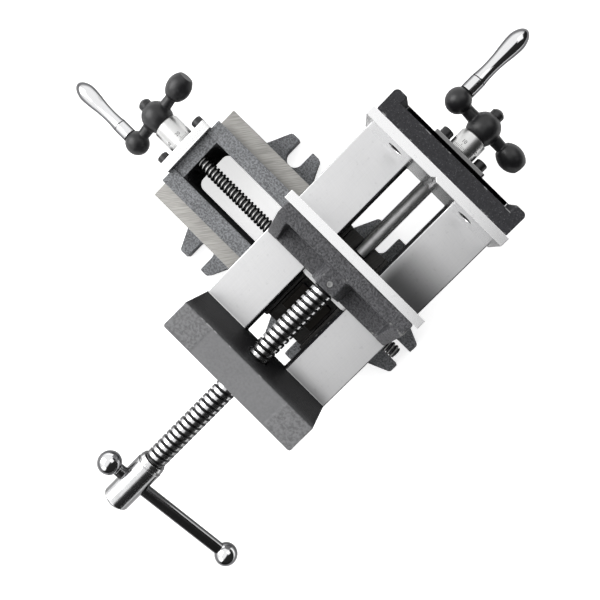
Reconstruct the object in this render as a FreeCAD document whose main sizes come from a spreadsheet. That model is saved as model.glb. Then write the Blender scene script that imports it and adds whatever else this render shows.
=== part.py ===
import FreeCAD, Part
import Sketcher
import math
import operator
import os

# Cross slide vise, millimetres. Origin at the centre of the base's bottom face.
# +X runs along the base slide, away from its crank. +Y runs from the T-handle to the fixed jaw. +Z is up.

SIZES = {
    # Base casting
    "base_length": 188.0,
    "base_width": 81.0,
    "shoulder_height": 36.0,
    "base_slot_width": 33.0,
    "base_end_wall": 9.5,
    "base_slot_corner": 6.0,
    "end_wall_step": 1.5,
    "ear_height": 11.0,
    "ear_pitch": 88.2,
    "ear_root": 47.0,
    "ear_tip": 28.0,
    "ear_reach": 19.0,
    "end_ear_reach": 21.0,
    "ear_slot_width": 13.2,
    "ear_slot_depth": 12.0,
    "ear_corner": 3.0,
    # Dovetails, the same section on the base and on the saddle
    "dovetail_width": 57.0,
    "dovetail_height": 10.0,
    "dovetail_slope": 0.577,
    "slide_gap": 0.1,
    "top_gap": 0.4,
    "gib_thickness": 4.5,
    "gib_screw_diameter": 6.0,
    "gib_screw_pitch": 32.0,
    "gib_screw_tail": 8.0,
    "gib_nut_flats": 9.0,
    "gib_nut_height": 5.0,
    "gib_dimple_room": 2.0,
    "hole_overrun": 2.0,
    # Saddle
    "saddle_length": 96.0,
    "saddle_height": 18.2,
    "saddle_rest": 38.0,
    "saddle_slot_width": 30.0,
    "saddle_slot_sink": 1.0,
    "saddle_corner": 4.0,
    # Lead screws and their nuts
    "x_screw_drop": 8.0,
    "y_screw_drop": 5.3,
    "lead_diameter": 10.0,
    "journal_diameter": 8.0,
    "stub_diameter": 6.0,
    "stub_length": 4.0,
    "drive_square": 5.6,
    "x_screw_length": 198.7,
    "y_screw_length": 170.0,
    "screw_end_chamfer": 1.0,
    "fit_gap": 0.05,
    "x_nut_length": 24.0,
    "x_nut_width": 28.0,
    "x_nut_drop": 8.0,
    "y_nut_length": 20.0,
    "y_nut_width": 26.0,
    "y_nut_rise": 8.0,
    "y_nut_place": -18.0,
    "nut_screw_offset": 9.5,
    "nut_screw_diameter": 5.0,
    "nut_screw_head": 8.5,
    "nut_screw_head_height": 4.0,
    "nut_screw_bite": 9.0,
    # Bearing plates
    "bearing_plate_width": 42.0,
    "bearing_plate_height": 24.0,
    "bearing_plate_thickness": 7.0,
    "plate_corner": 1.5,
    "x_plate_screw_pitch": 34.0,
    "y_plate_screw_pitch": 30.0,
    "plate_screw_diameter": 5.0,
    "plate_screw_head": 8.5,
    "plate_screw_head_height": 6.8,
    "plate_screw_bite": 12.0,
    # Feed dials and ball cranks
    "dial_diameter": 19.6,
    "dial_chamfer": 0.8,
    "x_dial_length": 19.5,
    "y_dial_length": 14.2,
    "dial_screw_diameter": 3.0,
    "hub_start_diameter": 16.6,
    "hub_diameter": 21.6,
    "hub_end_diameter": 11.0,
    "hub_length": 17.6,
    "arm_offset": 8.4,
    "arm_root_diameter": 9.5,
    "arm_end_diameter": 7.5,
    "handle_ball_diameter": 17.2,
    "handle_radius": 24.7,
    "weight_radius": 26.3,
    "weight_length": 18.0,
    "weight_diameter": 17.0,
    "weight_end_diameter": 12.0,
    "cap_diameter": 9.4,
    "cap_length": 6.0,
    "cap_dome": 2.6,
    "stem_thread": 6.0,
    "stem_collar": 10.5,
    "stem_collar_end": 17.3,
    "stem_seat_depth": 1.0,
    "stem_pin": 5.5,
    "stem_pin_end": 50.0,
    "grip_gap": 0.2,
    "grip_waist": 9.0,
    "grip_waist_place": 29.5,
    "grip_swell": 12.8,
    "grip_swell_place": 48.0,
    "grip_nose": 5.0,
    "grip_end": 60.0,
    "x_crank_angle": 18.0,
    "y_crank_angle": 12.0,
    # Vise body
    "body_width": 102.0,
    "body_height": 38.6,
    "body_waist": 8.0,
    "rail_edge": 9.0,
    "rail_thickness": 13.0,
    "keeper_room": 8.0,
    "keeper_groove_width": 50.0,
    "body_slot_width": 36.0,
    "lower_slot_width": 34.0,
    "fixed_face": 87.3,
    "body_front": -77.3,
    "body_rear": 114.0,
    "body_slot_front": -56.0,
    "body_slot_rear": 91.0,
    "rear_wall": 14.0,
    "front_block_top": 19.3,
    "front_block_foot": 25.3,
    "front_block_corner": 1.8,
    "fixed_jaw_inset": 1.25,
    "fixed_jaw_web": 10.7,
    "fixed_rib_top": 15.7,
    "rib_width": 8.0,
    "rib_corner": 3.0,
    # Jaws
    "jaw_plate_overhang": 1.0,
    "jaw_plate_thickness": 6.0,
    "jaw_height": 38.0,
    "jaw_opening": 58.0,
    "jaw_groove_width": 4.0,
    "jaw_groove_depth": 1.8,
    "jaw_screw_pitch": 56.0,
    "jaw_screw_diameter": 6.0,
    "jaw_screw_head": 10.0,
    "jaw_screw_head_depth": 3.5,
    "jaw_screw_bite": 6.5,
    "moving_jaw_inset": 1.75,
    "moving_web": 9.2,
    "moving_foot": 21.7,
    "moving_foot_height": 11.0,
    "boss_diameter": 22.0,
    "boss_ridge_width": 14.0,
    "boss_ridge_rise": 14.0,
    "boss_ridge_foot": 21.0,
    "keeper_width": 48.0,
    "keeper_length": 30.0,
    "keeper_thickness": 7.2,
    "keeper_corner": 9.0,
    "keeper_screw_pitch": 18.0,
    "keeper_screw_diameter": 6.0,
    "keeper_screw_head": 10.0,
    "keeper_screw_head_height": 4.5,
    "keeper_screw_bite": 20.0,
    # Main screw and its handle
    "main_screw_rise": 17.0,
    "main_screw_diameter": 14.0,
    "main_journal": 9.0,
    "main_journal_length": 17.5,
    "main_groove": 6.6,
    "main_groove_width": 4.6,
    "main_groove_place": 4.6,
    "main_thread_length": 147.3,
    "head_diameter": 18.0,
    "head_length": 37.0,
    "head_chamfer": 1.5,
    "head_end_diameter": 12.0,
    "head_end_length": 2.4,
    "bar_hole_place": 19.0,
    "set_screw_diameter": 4.0,
    "bar_diameter": 8.0,
    "bar_short_end": 19.0,
    "bar_long_end": 77.4,
    "bar_ball_diameter": 15.0,
    "bar_spigot": 5.0,
    "bar_angle": 15.0,
}

doc = FreeCAD.newDocument("cross_slide_vise")
sheet = doc.addObject("Spreadsheet::Sheet", "Sizes")
for row, (alias, number) in enumerate(SIZES.items(), start=1):
    sheet.set(f"A{row}", alias)
    sheet.set(f"B{row}", str(number))
    sheet.setAlias(f"B{row}", alias)
doc.recompute()


class Size:
    """A value worked out from the sheet, with the expression that binds a property to it."""

    def __init__(self, value, text):
        self.value = value
        self.text = text

    def join(self, sign, action, other, flipped=False):
        first, second = self, as_size(other)
        if flipped:
            first, second = second, first
        return Size(action(first.value, second.value), f"({first.text} {sign} {second.text})")

    def __add__(self, other):
        return self.join("+", operator.add, other)

    def __radd__(self, other):
        return self.join("+", operator.add, other, True)

    def __sub__(self, other):
        return self.join("-", operator.sub, other)

    def __rsub__(self, other):
        return self.join("-", operator.sub, other, True)

    def __mul__(self, other):
        return self.join("*", operator.mul, other)

    def __rmul__(self, other):
        return self.join("*", operator.mul, other, True)

    def __truediv__(self, other):
        return self.join("/", operator.truediv, other)

    def __neg__(self):
        return 0 - self


class Sheet:
    """Reads a cell by its alias."""

    def __getattr__(self, alias):
        return Size(SIZES[alias], f"Sizes.{alias}")


def as_size(value):
    return value if isinstance(value, Size) else Size(float(value), f"{float(value):.6f}")


def bind(thing, prop, value):
    thing.setExpression(prop, as_size(value).text)


s = Sheet()

# Levels and places that more than one piece uses
base_end = s.base_length / 2
base_top = s.shoulder_height + s.dovetail_height
saddle_bottom = s.shoulder_height + s.slide_gap
saddle_ceiling = base_top + s.top_gap
saddle_deck = saddle_bottom + s.saddle_height
saddle_top = saddle_deck + s.dovetail_height
saddle_floor = saddle_deck - s.saddle_slot_sink
body_bottom = saddle_deck + s.slide_gap
body_ceiling = saddle_top + s.top_gap
rails = body_bottom + s.body_height
keeper_roof = rails - s.rail_thickness
keeper_floor = keeper_roof - s.keeper_room
jaw_top = rails + s.jaw_height
jaw_bottom = rails + s.slide_gap
centre = s.saddle_rest
x_axis = base_top - s.x_screw_drop
y_axis = saddle_top - s.y_screw_drop
main_axis = rails + s.main_screw_rise
lead_bore = s.lead_diameter / 2 + s.fit_gap
journal_bore = s.journal_diameter / 2 + s.fit_gap
fixed_seat = s.fixed_face + s.jaw_plate_thickness
moving_face = s.fixed_face - s.jaw_opening
moving_seat = moving_face - s.jaw_plate_thickness
moving_back = moving_seat - s.moving_foot
gib_screw_level = s.dovetail_height / 2
dovetail_top = s.dovetail_width / 2
dovetail_root = dovetail_top - s.dovetail_height * s.dovetail_slope

nodes = []


def new_body(name):
    return doc.addObject("PartDesign::Body", name)


def origin_plane(body, plane):
    return next(item for item in body.Origin.OriginFeatures if item.Role == f"{plane}_Plane")


def new_sketch(body, plane, level=0, shift=(0, 0)):
    sketch = body.newObject("Sketcher::SketchObject", f"{body.Name}_sketch")
    sketch.AttachmentSupport = (origin_plane(body, plane), [""])
    sketch.MapMode = "FlatFace"
    bind(sketch, "AttachmentOffset.Base.x", shift[0])
    bind(sketch, "AttachmentOffset.Base.y", shift[1])
    bind(sketch, "AttachmentOffset.Base.z", level)
    return sketch


def pin_point(sketch, edge, end, x, y):
    for kind, value in (("DistanceX", x), ("DistanceY", y)):
        size = as_size(value)
        index = sketch.addConstraint(Sketcher.Constraint(kind, -1, 1, edge, end, size.value))
        bind(sketch, f"Constraints[{index}]", size)


def arc_middle(start, end, radius):
    """Middle of the short arc from start to end; a positive radius bulges to the right of the way."""
    half = (end - start) / 2
    across = FreeCAD.Vector(half.y, -half.x, 0).normalize()
    away = math.sqrt(max(radius * radius - half.Length * half.Length, 0))
    return (start + end) / 2 + across * (abs(radius) - away) * math.copysign(1, radius)


def draw_outline(sketch, points):
    """A closed outline; a third entry is the radius of the arc that leads to that point."""
    places = [FreeCAD.Vector(as_size(point[0]).value, as_size(point[1]).value, 0) for point in points]
    edges, ends = [], []
    for index, point in enumerate(points):
        start, end = places[index - 1], places[index]
        bend = as_size(point[2]) if len(point) == 3 else None
        if bend:
            curve = Part.Arc(start, arc_middle(start, end, bend.value), end)
        else:
            curve = Part.LineSegment(start, end)
        edges.append(sketch.addGeometry(curve, False))
        ends.append((2, 1) if bend and bend.value < 0 else (1, 2))
    for index, point in enumerate(points):
        edge = edges[index]
        corner = (edges[index - 1], ends[index - 1][1], edge, ends[index][0])
        sketch.addConstraint(Sketcher.Constraint("Coincident", *corner))
        pin_point(sketch, edge, ends[index][1], *point[:2])
        if len(point) == 3:
            bend = as_size(point[2])
            radius = bend if bend.value > 0 else -bend
            place = sketch.addConstraint(Sketcher.Constraint("Radius", edge, radius.value))
            bind(sketch, f"Constraints[{place}]", radius)


def draw_circle(sketch, x, y, radius):
    size = as_size(radius)
    middle = FreeCAD.Vector(as_size(x).value, as_size(y).value, 0)
    edge = sketch.addGeometry(Part.Circle(middle, FreeCAD.Vector(0, 0, 1), size.value), False)
    pin_point(sketch, edge, 3, x, y)
    index = sketch.addConstraint(Sketcher.Constraint("Radius", edge, size.value))
    bind(sketch, f"Constraints[{index}]", size)


def prism(body, kind, plane, shape, low, high):
    """Adds (Pad) or cuts (Pocket) a straight form between two levels along the plane's own axis."""
    against = plane == "XZ"
    from_high = against == (kind == "Pad")
    level = high if from_high else low
    sketch = new_sketch(body, plane, -level if against else level)
    if isinstance(shape, list):
        draw_outline(sketch, shape)
    else:
        draw_circle(sketch, *shape)
    feature = body.newObject(f"PartDesign::{kind}", f"{body.Name}_{kind.lower()}")
    feature.Profile = sketch
    bind(feature, "Length", as_size(high) - low)
    return feature


def add(body, plane, shape, low, high):
    return prism(body, "Pad", plane, shape, low, high)


def cut(body, plane, shape, low, high):
    return prism(body, "Pocket", plane, shape, low, high)


def revolve(body, points, axis="H_Axis", shift=(0, 0), kind="Revolution"):
    """Turns an outline of the XY plane about the sketch's own level or upright axis."""
    sketch = new_sketch(body, "XY", 0, shift)
    draw_outline(sketch, points)
    feature = body.newObject(f"PartDesign::{kind}", f"{body.Name}_{kind.lower()}")
    feature.Profile = sketch
    feature.ReferenceAxis = (sketch, [axis])
    feature.Angle = 360
    return feature


def add_sphere(body, radius, x, y):
    sphere = body.newObject("PartDesign::AdditiveSphere", f"{body.Name}_sphere")
    sphere.AttachmentSupport = (origin_plane(body, "XY"), [""])
    sphere.MapMode = "FlatFace"
    bind(sphere, "Radius", radius)
    bind(sphere, "AttachmentOffset.Base.x", x)
    bind(sphere, "AttachmentOffset.Base.y", y)


def crown_radius(reach, rise):
    """Radius of an arc that drops by rise over a reach from its highest point."""
    return reach * reach / rise / 2 + rise / 2


def rectangle(x0, x1, y0, y1):
    return [(x0, y0), (x1, y0), (x1, y1), (x0, y1)]


def turned(body, steps, start=0, end_chamfer=None):
    """A shaft of plain cylinders along local X: each step is (end, diameter)."""
    outline = [(start, 0)]
    place = start
    for end, diameter in steps:
        outline += [(place, diameter / 2), (end, diameter / 2)]
        place = end
    outline.append((place, 0))
    if end_chamfer is not None:
        first = outline[1]
        outline[1:2] = [(start, first[1] - end_chamfer), (start + end_chamfer, first[1])]
    return revolve(body, outline)


def round_edges(body, radius, test, kind="Fillet"):
    """Rounds (or chamfers) the edges of the piece so far for which the test on their middle is true."""
    doc.recompute()
    names = []
    for index, edge in enumerate(body.Tip.Shape.Edges, start=1):
        middle = edge.valueAt((edge.FirstParameter + edge.LastParameter) / 2)
        if test(edge, middle):
            names.append(f"Edge{index}")
    feature = body.newObject(f"PartDesign::{kind}", f"{body.Name}_{kind.lower()}")
    feature.Base = (body.getObject(body.Group[-2].Name) or body.Group[-2], names)
    bind(feature, "Radius" if kind == "Fillet" else "Size", radius)
    return feature


def near(first, second, reach=0.05):
    return abs(first - as_size(second).value) < reach


def upright(edge):
    ends = edge.Vertexes
    level = near(ends[0].X, ends[-1].X) and near(ends[0].Y, ends[-1].Y)
    return len(ends) == 2 and level and edge.Length > 1


def place(thing, x=0, y=0, z=0, rotation=None):
    """Puts a piece at its place and keeps the place bound to the sheet."""
    spot = FreeCAD.Vector(as_size(x).value, as_size(y).value, as_size(z).value)
    thing.Placement = FreeCAD.Placement(spot, rotation or FreeCAD.Rotation())
    bind(thing, "Placement.Base.x", x)
    bind(thing, "Placement.Base.y", y)
    bind(thing, "Placement.Base.z", z)


def spin(axis, angle):
    return FreeCAD.Rotation(FreeCAD.Vector(*axis), angle)


def keep(thing, label):
    thing.Label = label
    nodes.append(thing)
    return thing


def group(label, pieces):
    """Like pieces that share one file, each a solid of its own."""
    holder = doc.addObject("Part::Compound", f"{label}_group")
    holder.Links = pieces
    return keep(holder, label)


def head_screw(name, head, head_height, shank, length, where, rotation):
    """A socket head screw: its seat is at the origin, its head towards local -X."""
    body = new_body(name)
    turned(body, [(0, head), (length, shank)], start=-head_height)
    place(body, *where, rotation)
    return body


def grub_screw(name, diameter, length, where, rotation):
    """A headless screw from the origin along local X."""
    body = new_body(name)
    turned(body, [(length, diameter)])
    place(body, *where, rotation)
    return body


def hexagon(flats):
    """Corners of a hexagon about the origin, with flats above and below."""
    across = flats / 2
    corner = across * math.tan(math.radians(30))
    tip = corner * 2
    right = [(corner, across), (tip, 0), (corner, -across)]
    return right + [(-corner, -across), (-tip, 0), (-corner, across)]


TO_PLUS_Y = spin((0, 0, 1), 90)
TO_MINUS_Y = spin((0, 0, 1), -90)
TO_MINUS_X = spin((0, 0, 1), 180)
UPWARDS = spin((0, 1, 0), -90)
DOWNWARDS = spin((0, 1, 0), 90)


def male_dovetail(middle, foot):
    """Section of a dovetail that stands on the level named foot, wider at its top."""
    top = foot + s.dovetail_height
    return [
        (middle - dovetail_root, foot),
        (middle + dovetail_root, foot),
        (middle + dovetail_top, top),
        (middle - dovetail_top, top),
    ]


def female_dovetail(middle, foot, bottom, ceiling, gib_side):
    """Section of the groove round a male dovetail, with room for the gib on one side."""
    rise = s.dovetail_height + s.top_gap
    wide = {side: s.gib_thickness if side == gib_side else s.slide_gap for side in (-1, 1)}
    top = {side: dovetail_root + rise * s.dovetail_slope + wide[side] for side in (-1, 1)}
    root = {side: dovetail_root + wide[side] - s.slide_gap * 2 * s.dovetail_slope for side in (-1, 1)}
    under = foot - s.slide_gap * 2
    return [
        (middle - root[-1], under),
        (middle + root[1], under),
        (middle + top[1], foot + rise),
        (middle - top[-1], foot + rise),
    ]


def gib_section(middle, foot, side):
    """The strip that fills the wide side of the groove, with a running gap on both faces."""
    low = foot + s.top_gap
    lean = s.dovetail_slope
    inner_low = dovetail_root + s.top_gap * lean + s.slide_gap
    outer_low = dovetail_root + s.top_gap * lean + s.gib_thickness - s.fit_gap
    inner_top = dovetail_root + s.dovetail_height * lean + s.slide_gap
    outer_top = dovetail_root + s.dovetail_height * lean + s.gib_thickness - s.fit_gap
    top = foot + s.dovetail_height
    return [
        (middle + side * inner_low, low),
        (middle + side * outer_low, low),
        (middle + side * outer_top, top),
        (middle + side * inner_top, top),
    ]


def gib_face(foot_distance):
    """Distance of the gib's outer face from the slide's centre at a height over the dovetail's foot."""
    return dovetail_root + foot_distance * s.dovetail_slope + s.gib_thickness


# Base casting: a block with a dovetail along X, a through slot for the feed nut and five forked ears
base = new_body("base")
add(base, "XY", rectangle(-base_end, base_end, -s.base_width / 2, s.base_width / 2), 0, s.shoulder_height)


def ear_outline(x, y, along, outward, reach):
    """Trapezoid ear on a wall; along and outward are unit steps in the plane of the base."""
    root, tip = s.ear_root / 2, s.ear_tip / 2
    corners = []
    for aside, out in ((-root, -1), (root, -1), (tip, reach), (-tip, reach)):
        corners.append((x + along[0] * aside + outward[0] * out, y + along[1] * aside + outward[1] * out))
    return corners


EARS = [(side_x * s.ear_pitch / 2, side_y * s.base_width / 2, (side_y * -1, 0), (0, side_y), s.ear_reach)
        for side_x in (-1, 1) for side_y in (-1, 1)]
EARS.append((base_end, 0, (0, 1), (1, 0), s.end_ear_reach))
for ear in EARS:
    add(base, "XY", ear_outline(*ear), 0, s.ear_height)


def ear_tip_edge(edge, middle):
    low = near(middle.z, s.ear_height / 2)
    past_wall = SIZES["ear_reach"] / 2
    beside = abs(middle.y) > SIZES["base_width"] / 2 + past_wall
    beyond = middle.x > SIZES["base_length"] / 2 + past_wall
    return upright(edge) and low and (beside or beyond)


round_edges(base, s.ear_corner, ear_tip_edge)
for x, y, along, outward, reach in EARS:
    middle = (x + outward[0] * (reach - s.ear_slot_depth), y + outward[1] * (reach - s.ear_slot_depth))
    half = s.ear_slot_width / 2
    cut(base, "XY", (middle[0], middle[1], half), 0, s.ear_height)
    corners = []
    open_end = s.ear_slot_depth + 1
    for aside, out in ((-half, 0), (half, 0), (half, open_end), (-half, open_end)):
        corners.append((middle[0] + along[0] * aside + outward[0] * out,
                        middle[1] + along[1] * aside + outward[1] * out))
    cut(base, "XY", corners, 0, s.ear_height)
add(base, "YZ", male_dovetail(as_size(0), s.shoulder_height), -base_end, base_end)
slot_end = base_end - s.base_end_wall
slot_side = s.base_slot_width / 2
cut(base, "XY", rectangle(-slot_end, slot_end, -slot_side, slot_side), 0, base_top)


def base_slot_corner_edge(edge, middle):
    return upright(edge) and near(abs(middle.x), slot_end) and near(abs(middle.y), slot_side)


round_edges(base, s.base_slot_corner, base_slot_corner_edge)
end_wall_top = base_top - s.end_wall_step
cut(base, "XY", rectangle(-base_end, base_end, -slot_side, slot_side), end_wall_top, base_top)
cut(base, "YZ", (0, x_axis, lead_bore), -base_end, base_end)
for side in (-1, 1):
    cut(base, "YZ", (side * s.x_plate_screw_pitch / 2, x_axis, s.plate_screw_diameter / 2),
        -base_end, s.plate_screw_bite - base_end)
keep(base, "base_casting")


def bearing_plate(label, screw_pitch, where, rotation):
    """The plate on the end of a slide that carries the lead screw's journal."""
    body = new_body(label)
    wide, tall = s.bearing_plate_width / 2, s.bearing_plate_height / 2
    add(body, "YZ", rectangle(-wide, wide, -tall, tall), -s.bearing_plate_thickness, 0)
    halfway = -SIZES["bearing_plate_thickness"] / 2
    round_edges(body, s.plate_corner, lambda edge, middle: abs(middle.x - halfway) < 0.1)
    cut(body, "YZ", (0, 0, journal_bore), -s.bearing_plate_thickness, 0)
    for side in (-1, 1):
        hole = (side * screw_pitch / 2, 0, s.plate_screw_diameter / 2 + s.fit_gap)
        cut(body, "YZ", hole, -s.bearing_plate_thickness, 0)
    place(body, *where, rotation)
    return keep(body, label)


def feed_set(tag, screw_length, dial_length, where, rotation):
    """Lead screw, dial, ball crank, cap nut and turning handle; local X points away from the slide.

    The origin is on the screw's axis at the outer face of the bearing plate.
    """
    plate = s.bearing_plate_thickness
    hub_start = dial_length + s.slide_gap
    hub_end = hub_start + s.hub_length
    arm = hub_start + s.arm_offset

    screw = new_body(f"{tag}_screw_body")
    turned(screw, [(-plate - s.fit_gap, s.lead_diameter), (hub_start, s.journal_diameter)],
           start=-plate - screw_length, end_chamfer=s.screw_end_chamfer)
    half = s.drive_square / 2
    add(screw, "YZ", rectangle(-half, half, -half, half), hub_start, hub_end)
    add(screw, "YZ", (0, 0, s.stub_diameter / 2), hub_end, hub_end + s.stub_length)
    place(screw, *where, rotation)
    keep(screw, f"{tag}_lead_screw")

    dial = new_body(f"{tag}_dial_body")
    drum = s.dial_diameter / 2
    bore = s.journal_diameter / 2
    revolve(dial, [
        (s.slide_gap, bore),
        (s.slide_gap, drum - s.dial_chamfer),
        (s.slide_gap + s.dial_chamfer, drum),
        (dial_length - s.dial_chamfer, drum),
        (dial_length, drum - s.dial_chamfer),
        (dial_length, bore),
    ])
    grub = s.dial_screw_diameter / 2
    cut(dial, "XY", (dial_length / 2, 0, grub), 0, drum)
    place(dial, *where, rotation)
    keep(dial, f"{tag}_dial")

    dial_screw = new_body(f"{tag}_dial_screw_body")
    add(dial_screw, "XY", (dial_length / 2, 0, grub), bore, drum - s.dial_chamfer)
    place(dial_screw, *where, rotation)
    keep(dial_screw, f"{tag}_dial_screw")

    crank = new_body(f"{tag}_crank_body")
    hub = s.hub_diameter / 2
    near_edge, far_edge = s.hub_start_diameter / 2, s.hub_end_diameter / 2
    near_bend = crown_radius(s.arm_offset, hub - near_edge)
    far_bend = crown_radius(s.hub_length - s.arm_offset, hub - far_edge)
    revolve(crank, [
        (hub_start, 0),
        (hub_start, near_edge),
        (arm, hub, -near_bend),
        (hub_end, far_edge, -far_bend),
        (hub_end, 0),
    ])
    weight_end = s.weight_end_diameter / 2
    weight_crown = crown_radius(s.weight_length / 2, s.weight_diameter / 2 - weight_end)
    weight_near = -s.weight_radius + s.weight_length / 2
    weight_far = -s.weight_radius - s.weight_length / 2
    root, tip = s.arm_root_diameter / 2, s.arm_end_diameter / 2
    revolve(crank, [
        (0, weight_far),
        (weight_end, weight_far),
        (weight_end, weight_near, weight_crown),
        (tip, weight_near),
        (root, 0),
        (tip, s.handle_radius),
        (0, s.handle_radius),
    ], "V_Axis", (arm, 0))
    ball = s.handle_ball_diameter / 2
    revolve(crank, [(-ball, 0), (0, ball, -ball), (ball, 0, -ball)], shift=(arm, s.handle_radius))
    cut(crank, "YZ", rectangle(-half - s.fit_gap, half + s.fit_gap, -half - s.fit_gap, half + s.fit_gap),
        hub_start, hub_end)
    ball_face = arm + ball
    thread_hole = s.stem_thread / 2
    cut(crank, "YZ", (s.handle_radius, 0, thread_hole + s.fit_gap), arm - thread_hole, ball_face)
    seat = ball_face - s.stem_seat_depth
    cut(crank, "YZ", (s.handle_radius, 0, s.stem_collar / 2 + s.fit_gap), seat, ball_face)
    place(crank, *where, rotation)
    keep(crank, f"{tag}_crank")

    cap = new_body(f"{tag}_cap_body")
    cap_edge = s.cap_diameter / 2
    shoulder = hub_end + s.cap_length - s.cap_dome
    dome = crown_radius(cap_edge, s.cap_dome)
    revolve(cap, [
        (hub_end, 0),
        (hub_end, cap_edge),
        (shoulder, cap_edge),
        (hub_end + s.cap_length, 0, -dome),
    ])
    cut(cap, "YZ", (0, 0, s.stub_diameter / 2), hub_end, hub_end + s.stub_length)
    place(cap, *where, rotation)
    keep(cap, f"{tag}_cap_nut")

    stem = new_body(f"{tag}_stem_body")
    thread, collar, pin = s.stem_thread / 2, s.stem_collar / 2, s.stem_pin / 2
    revolve(stem, [
        (arm - thread, 0),
        (arm - thread, thread),
        (seat, thread),
        (seat, collar),
        (arm + s.stem_collar_end, collar),
        (arm + s.stem_collar_end, pin),
        (arm + s.stem_pin_end, pin),
        (arm + s.stem_pin_end, 0),
    ], shift=(0, s.handle_radius))
    place(stem, *where, rotation)
    keep(stem, f"{tag}_handle_stem")

    grip = new_body(f"{tag}_grip_body")
    grip_start = arm + s.stem_collar_end + s.grip_gap
    inside = pin + s.fit_gap * 2
    waist, swollen, nose = s.grip_waist / 2, s.grip_swell / 2, s.grip_nose / 2
    nose_height = nose / 2
    nose_round = (nose * nose + nose_height * nose_height) / (nose_height * 2)
    revolve(grip, [
        (grip_start, inside),
        (grip_start, collar),
        (arm + s.grip_waist_place, waist, 4 * s.grip_waist_place),
        (arm + s.grip_swell_place, swollen, -4 * s.grip_waist_place),
        (arm + s.grip_end - nose_height, nose, -2 * s.grip_swell),
        (arm + s.grip_end, 0, -nose_round),
        (arm + s.stem_pin_end + s.grip_gap * 2, 0),
        (arm + s.stem_pin_end + s.grip_gap * 2, inside),
    ], shift=(0, s.handle_radius))
    place(grip, *where, rotation)
    keep(grip, f"{tag}_handle_grip")


# X feed at the base's -X end
x_feed_place = (-base_end - s.bearing_plate_thickness, as_size(0), x_axis)
bearing_plate("x_bearing_plate", s.x_plate_screw_pitch, x_feed_place, TO_MINUS_X)
plate_screw_sizes = (s.plate_screw_head, s.plate_screw_head_height, s.plate_screw_diameter)
plate_screw_length = s.bearing_plate_thickness + s.plate_screw_bite
group("x_plate_screws", [
    head_screw(f"x_plate_screw_{side + 2}", *plate_screw_sizes, plate_screw_length,
               (x_feed_place[0], side * s.x_plate_screw_pitch / 2, x_axis), FreeCAD.Rotation())
    for side in (-1, 1)])
feed_set("x", s.x_screw_length, s.x_dial_length, x_feed_place,
         spin((1, 0, 0), SIZES["x_crank_angle"]) * TO_MINUS_X)

# Saddle: a groove along X under it, a dovetail along Y on top of it
saddle = new_body("saddle")
saddle_side = s.saddle_length / 2
saddle_front = s.base_width / 2
add(saddle, "XY", rectangle(centre - saddle_side, centre + saddle_side, -saddle_front, saddle_front),
    saddle_bottom, saddle_deck)
round_edges(saddle, s.saddle_corner, lambda edge, middle: upright(edge))
add(saddle, "XZ", male_dovetail(centre, saddle_deck), -saddle_front, saddle_front)
cut(saddle, "YZ", female_dovetail(as_size(0), s.shoulder_height, saddle_bottom, saddle_ceiling, -1),
    centre - saddle_side, centre + saddle_side)
slot = s.saddle_slot_width / 2
cut(saddle, "XZ", rectangle(centre - slot, centre + slot, saddle_floor, saddle_top),
    -saddle_front, saddle_front)
gib_level = s.shoulder_height + gib_screw_level
for turn in (-1, 0, 1):
    where = (centre + turn * s.gib_screw_pitch, gib_level, s.gib_screw_diameter / 2)
    cut(saddle, "XZ", where, -saddle_front, s.hole_overrun - gib_face(gib_screw_level))
screw_hole = s.nut_screw_diameter / 2
head_hole = s.nut_screw_head / 2
x_nut_seat = saddle_floor - s.nut_screw_head_height
y_nut_seat = saddle_ceiling + s.nut_screw_head_height
for side in (-1, 1):
    aside = side * s.nut_screw_offset
    cut(saddle, "XY", (centre, aside, screw_hole), saddle_ceiling, saddle_floor)
    cut(saddle, "XY", (centre, aside, head_hole), x_nut_seat, saddle_floor)
    cut(saddle, "XY", (centre + aside, s.y_nut_place, screw_hole), saddle_ceiling, saddle_floor)
    cut(saddle, "XY", (centre + aside, s.y_nut_place, head_hole), saddle_ceiling, y_nut_seat)
keep(saddle, "saddle_casting")

# X feed nut under the saddle, in the slot of the base
x_nut = new_body("x_nut")
half_width, half_length = s.x_nut_width / 2, s.x_nut_length / 2
add(x_nut, "XY", rectangle(centre - half_length, centre + half_length, -half_width, half_width),
    x_axis - s.x_nut_drop, saddle_ceiling)
cut(x_nut, "YZ", (0, x_axis, lead_bore), centre - half_length, centre + half_length)
x_screw_end = saddle_ceiling - s.nut_screw_bite
for side in (-1, 1):
    cut(x_nut, "XY", (centre, side * s.nut_screw_offset, screw_hole), x_screw_end, saddle_ceiling)
keep(x_nut, "x_feed_nut")
nut_screw_sizes = (s.nut_screw_head, s.nut_screw_head_height, s.nut_screw_diameter)
group("x_nut_screws", [
    head_screw(f"x_nut_screw_{side + 2}", *nut_screw_sizes, x_nut_seat - x_screw_end,
               (centre, side * s.nut_screw_offset, x_nut_seat), DOWNWARDS)
    for side in (-1, 1)])

# Y feed nut in the saddle's top slot
y_nut = new_body("y_nut")
half_width, half_length = s.y_nut_width / 2, s.y_nut_length / 2
add(y_nut, "XY", rectangle(centre - half_width, centre + half_width, s.y_nut_place - half_length,
                           s.y_nut_place + half_length), saddle_floor, y_axis + s.y_nut_rise)
cut(y_nut, "XZ", (centre, y_axis, lead_bore), s.y_nut_place - half_length, s.y_nut_place + half_length)
for side in (-1, 1):
    cut(y_nut, "XY", (centre + side * s.nut_screw_offset, s.y_nut_place, screw_hole),
        saddle_floor, saddle_floor + s.nut_screw_bite)
keep(y_nut, "y_feed_nut")
group("y_nut_screws", [
    head_screw(f"y_nut_screw_{side + 2}", *nut_screw_sizes, saddle_floor + s.nut_screw_bite - y_nut_seat,
               (centre + side * s.nut_screw_offset, s.y_nut_place, y_nut_seat), UPWARDS)
    for side in (-1, 1)])

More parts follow.
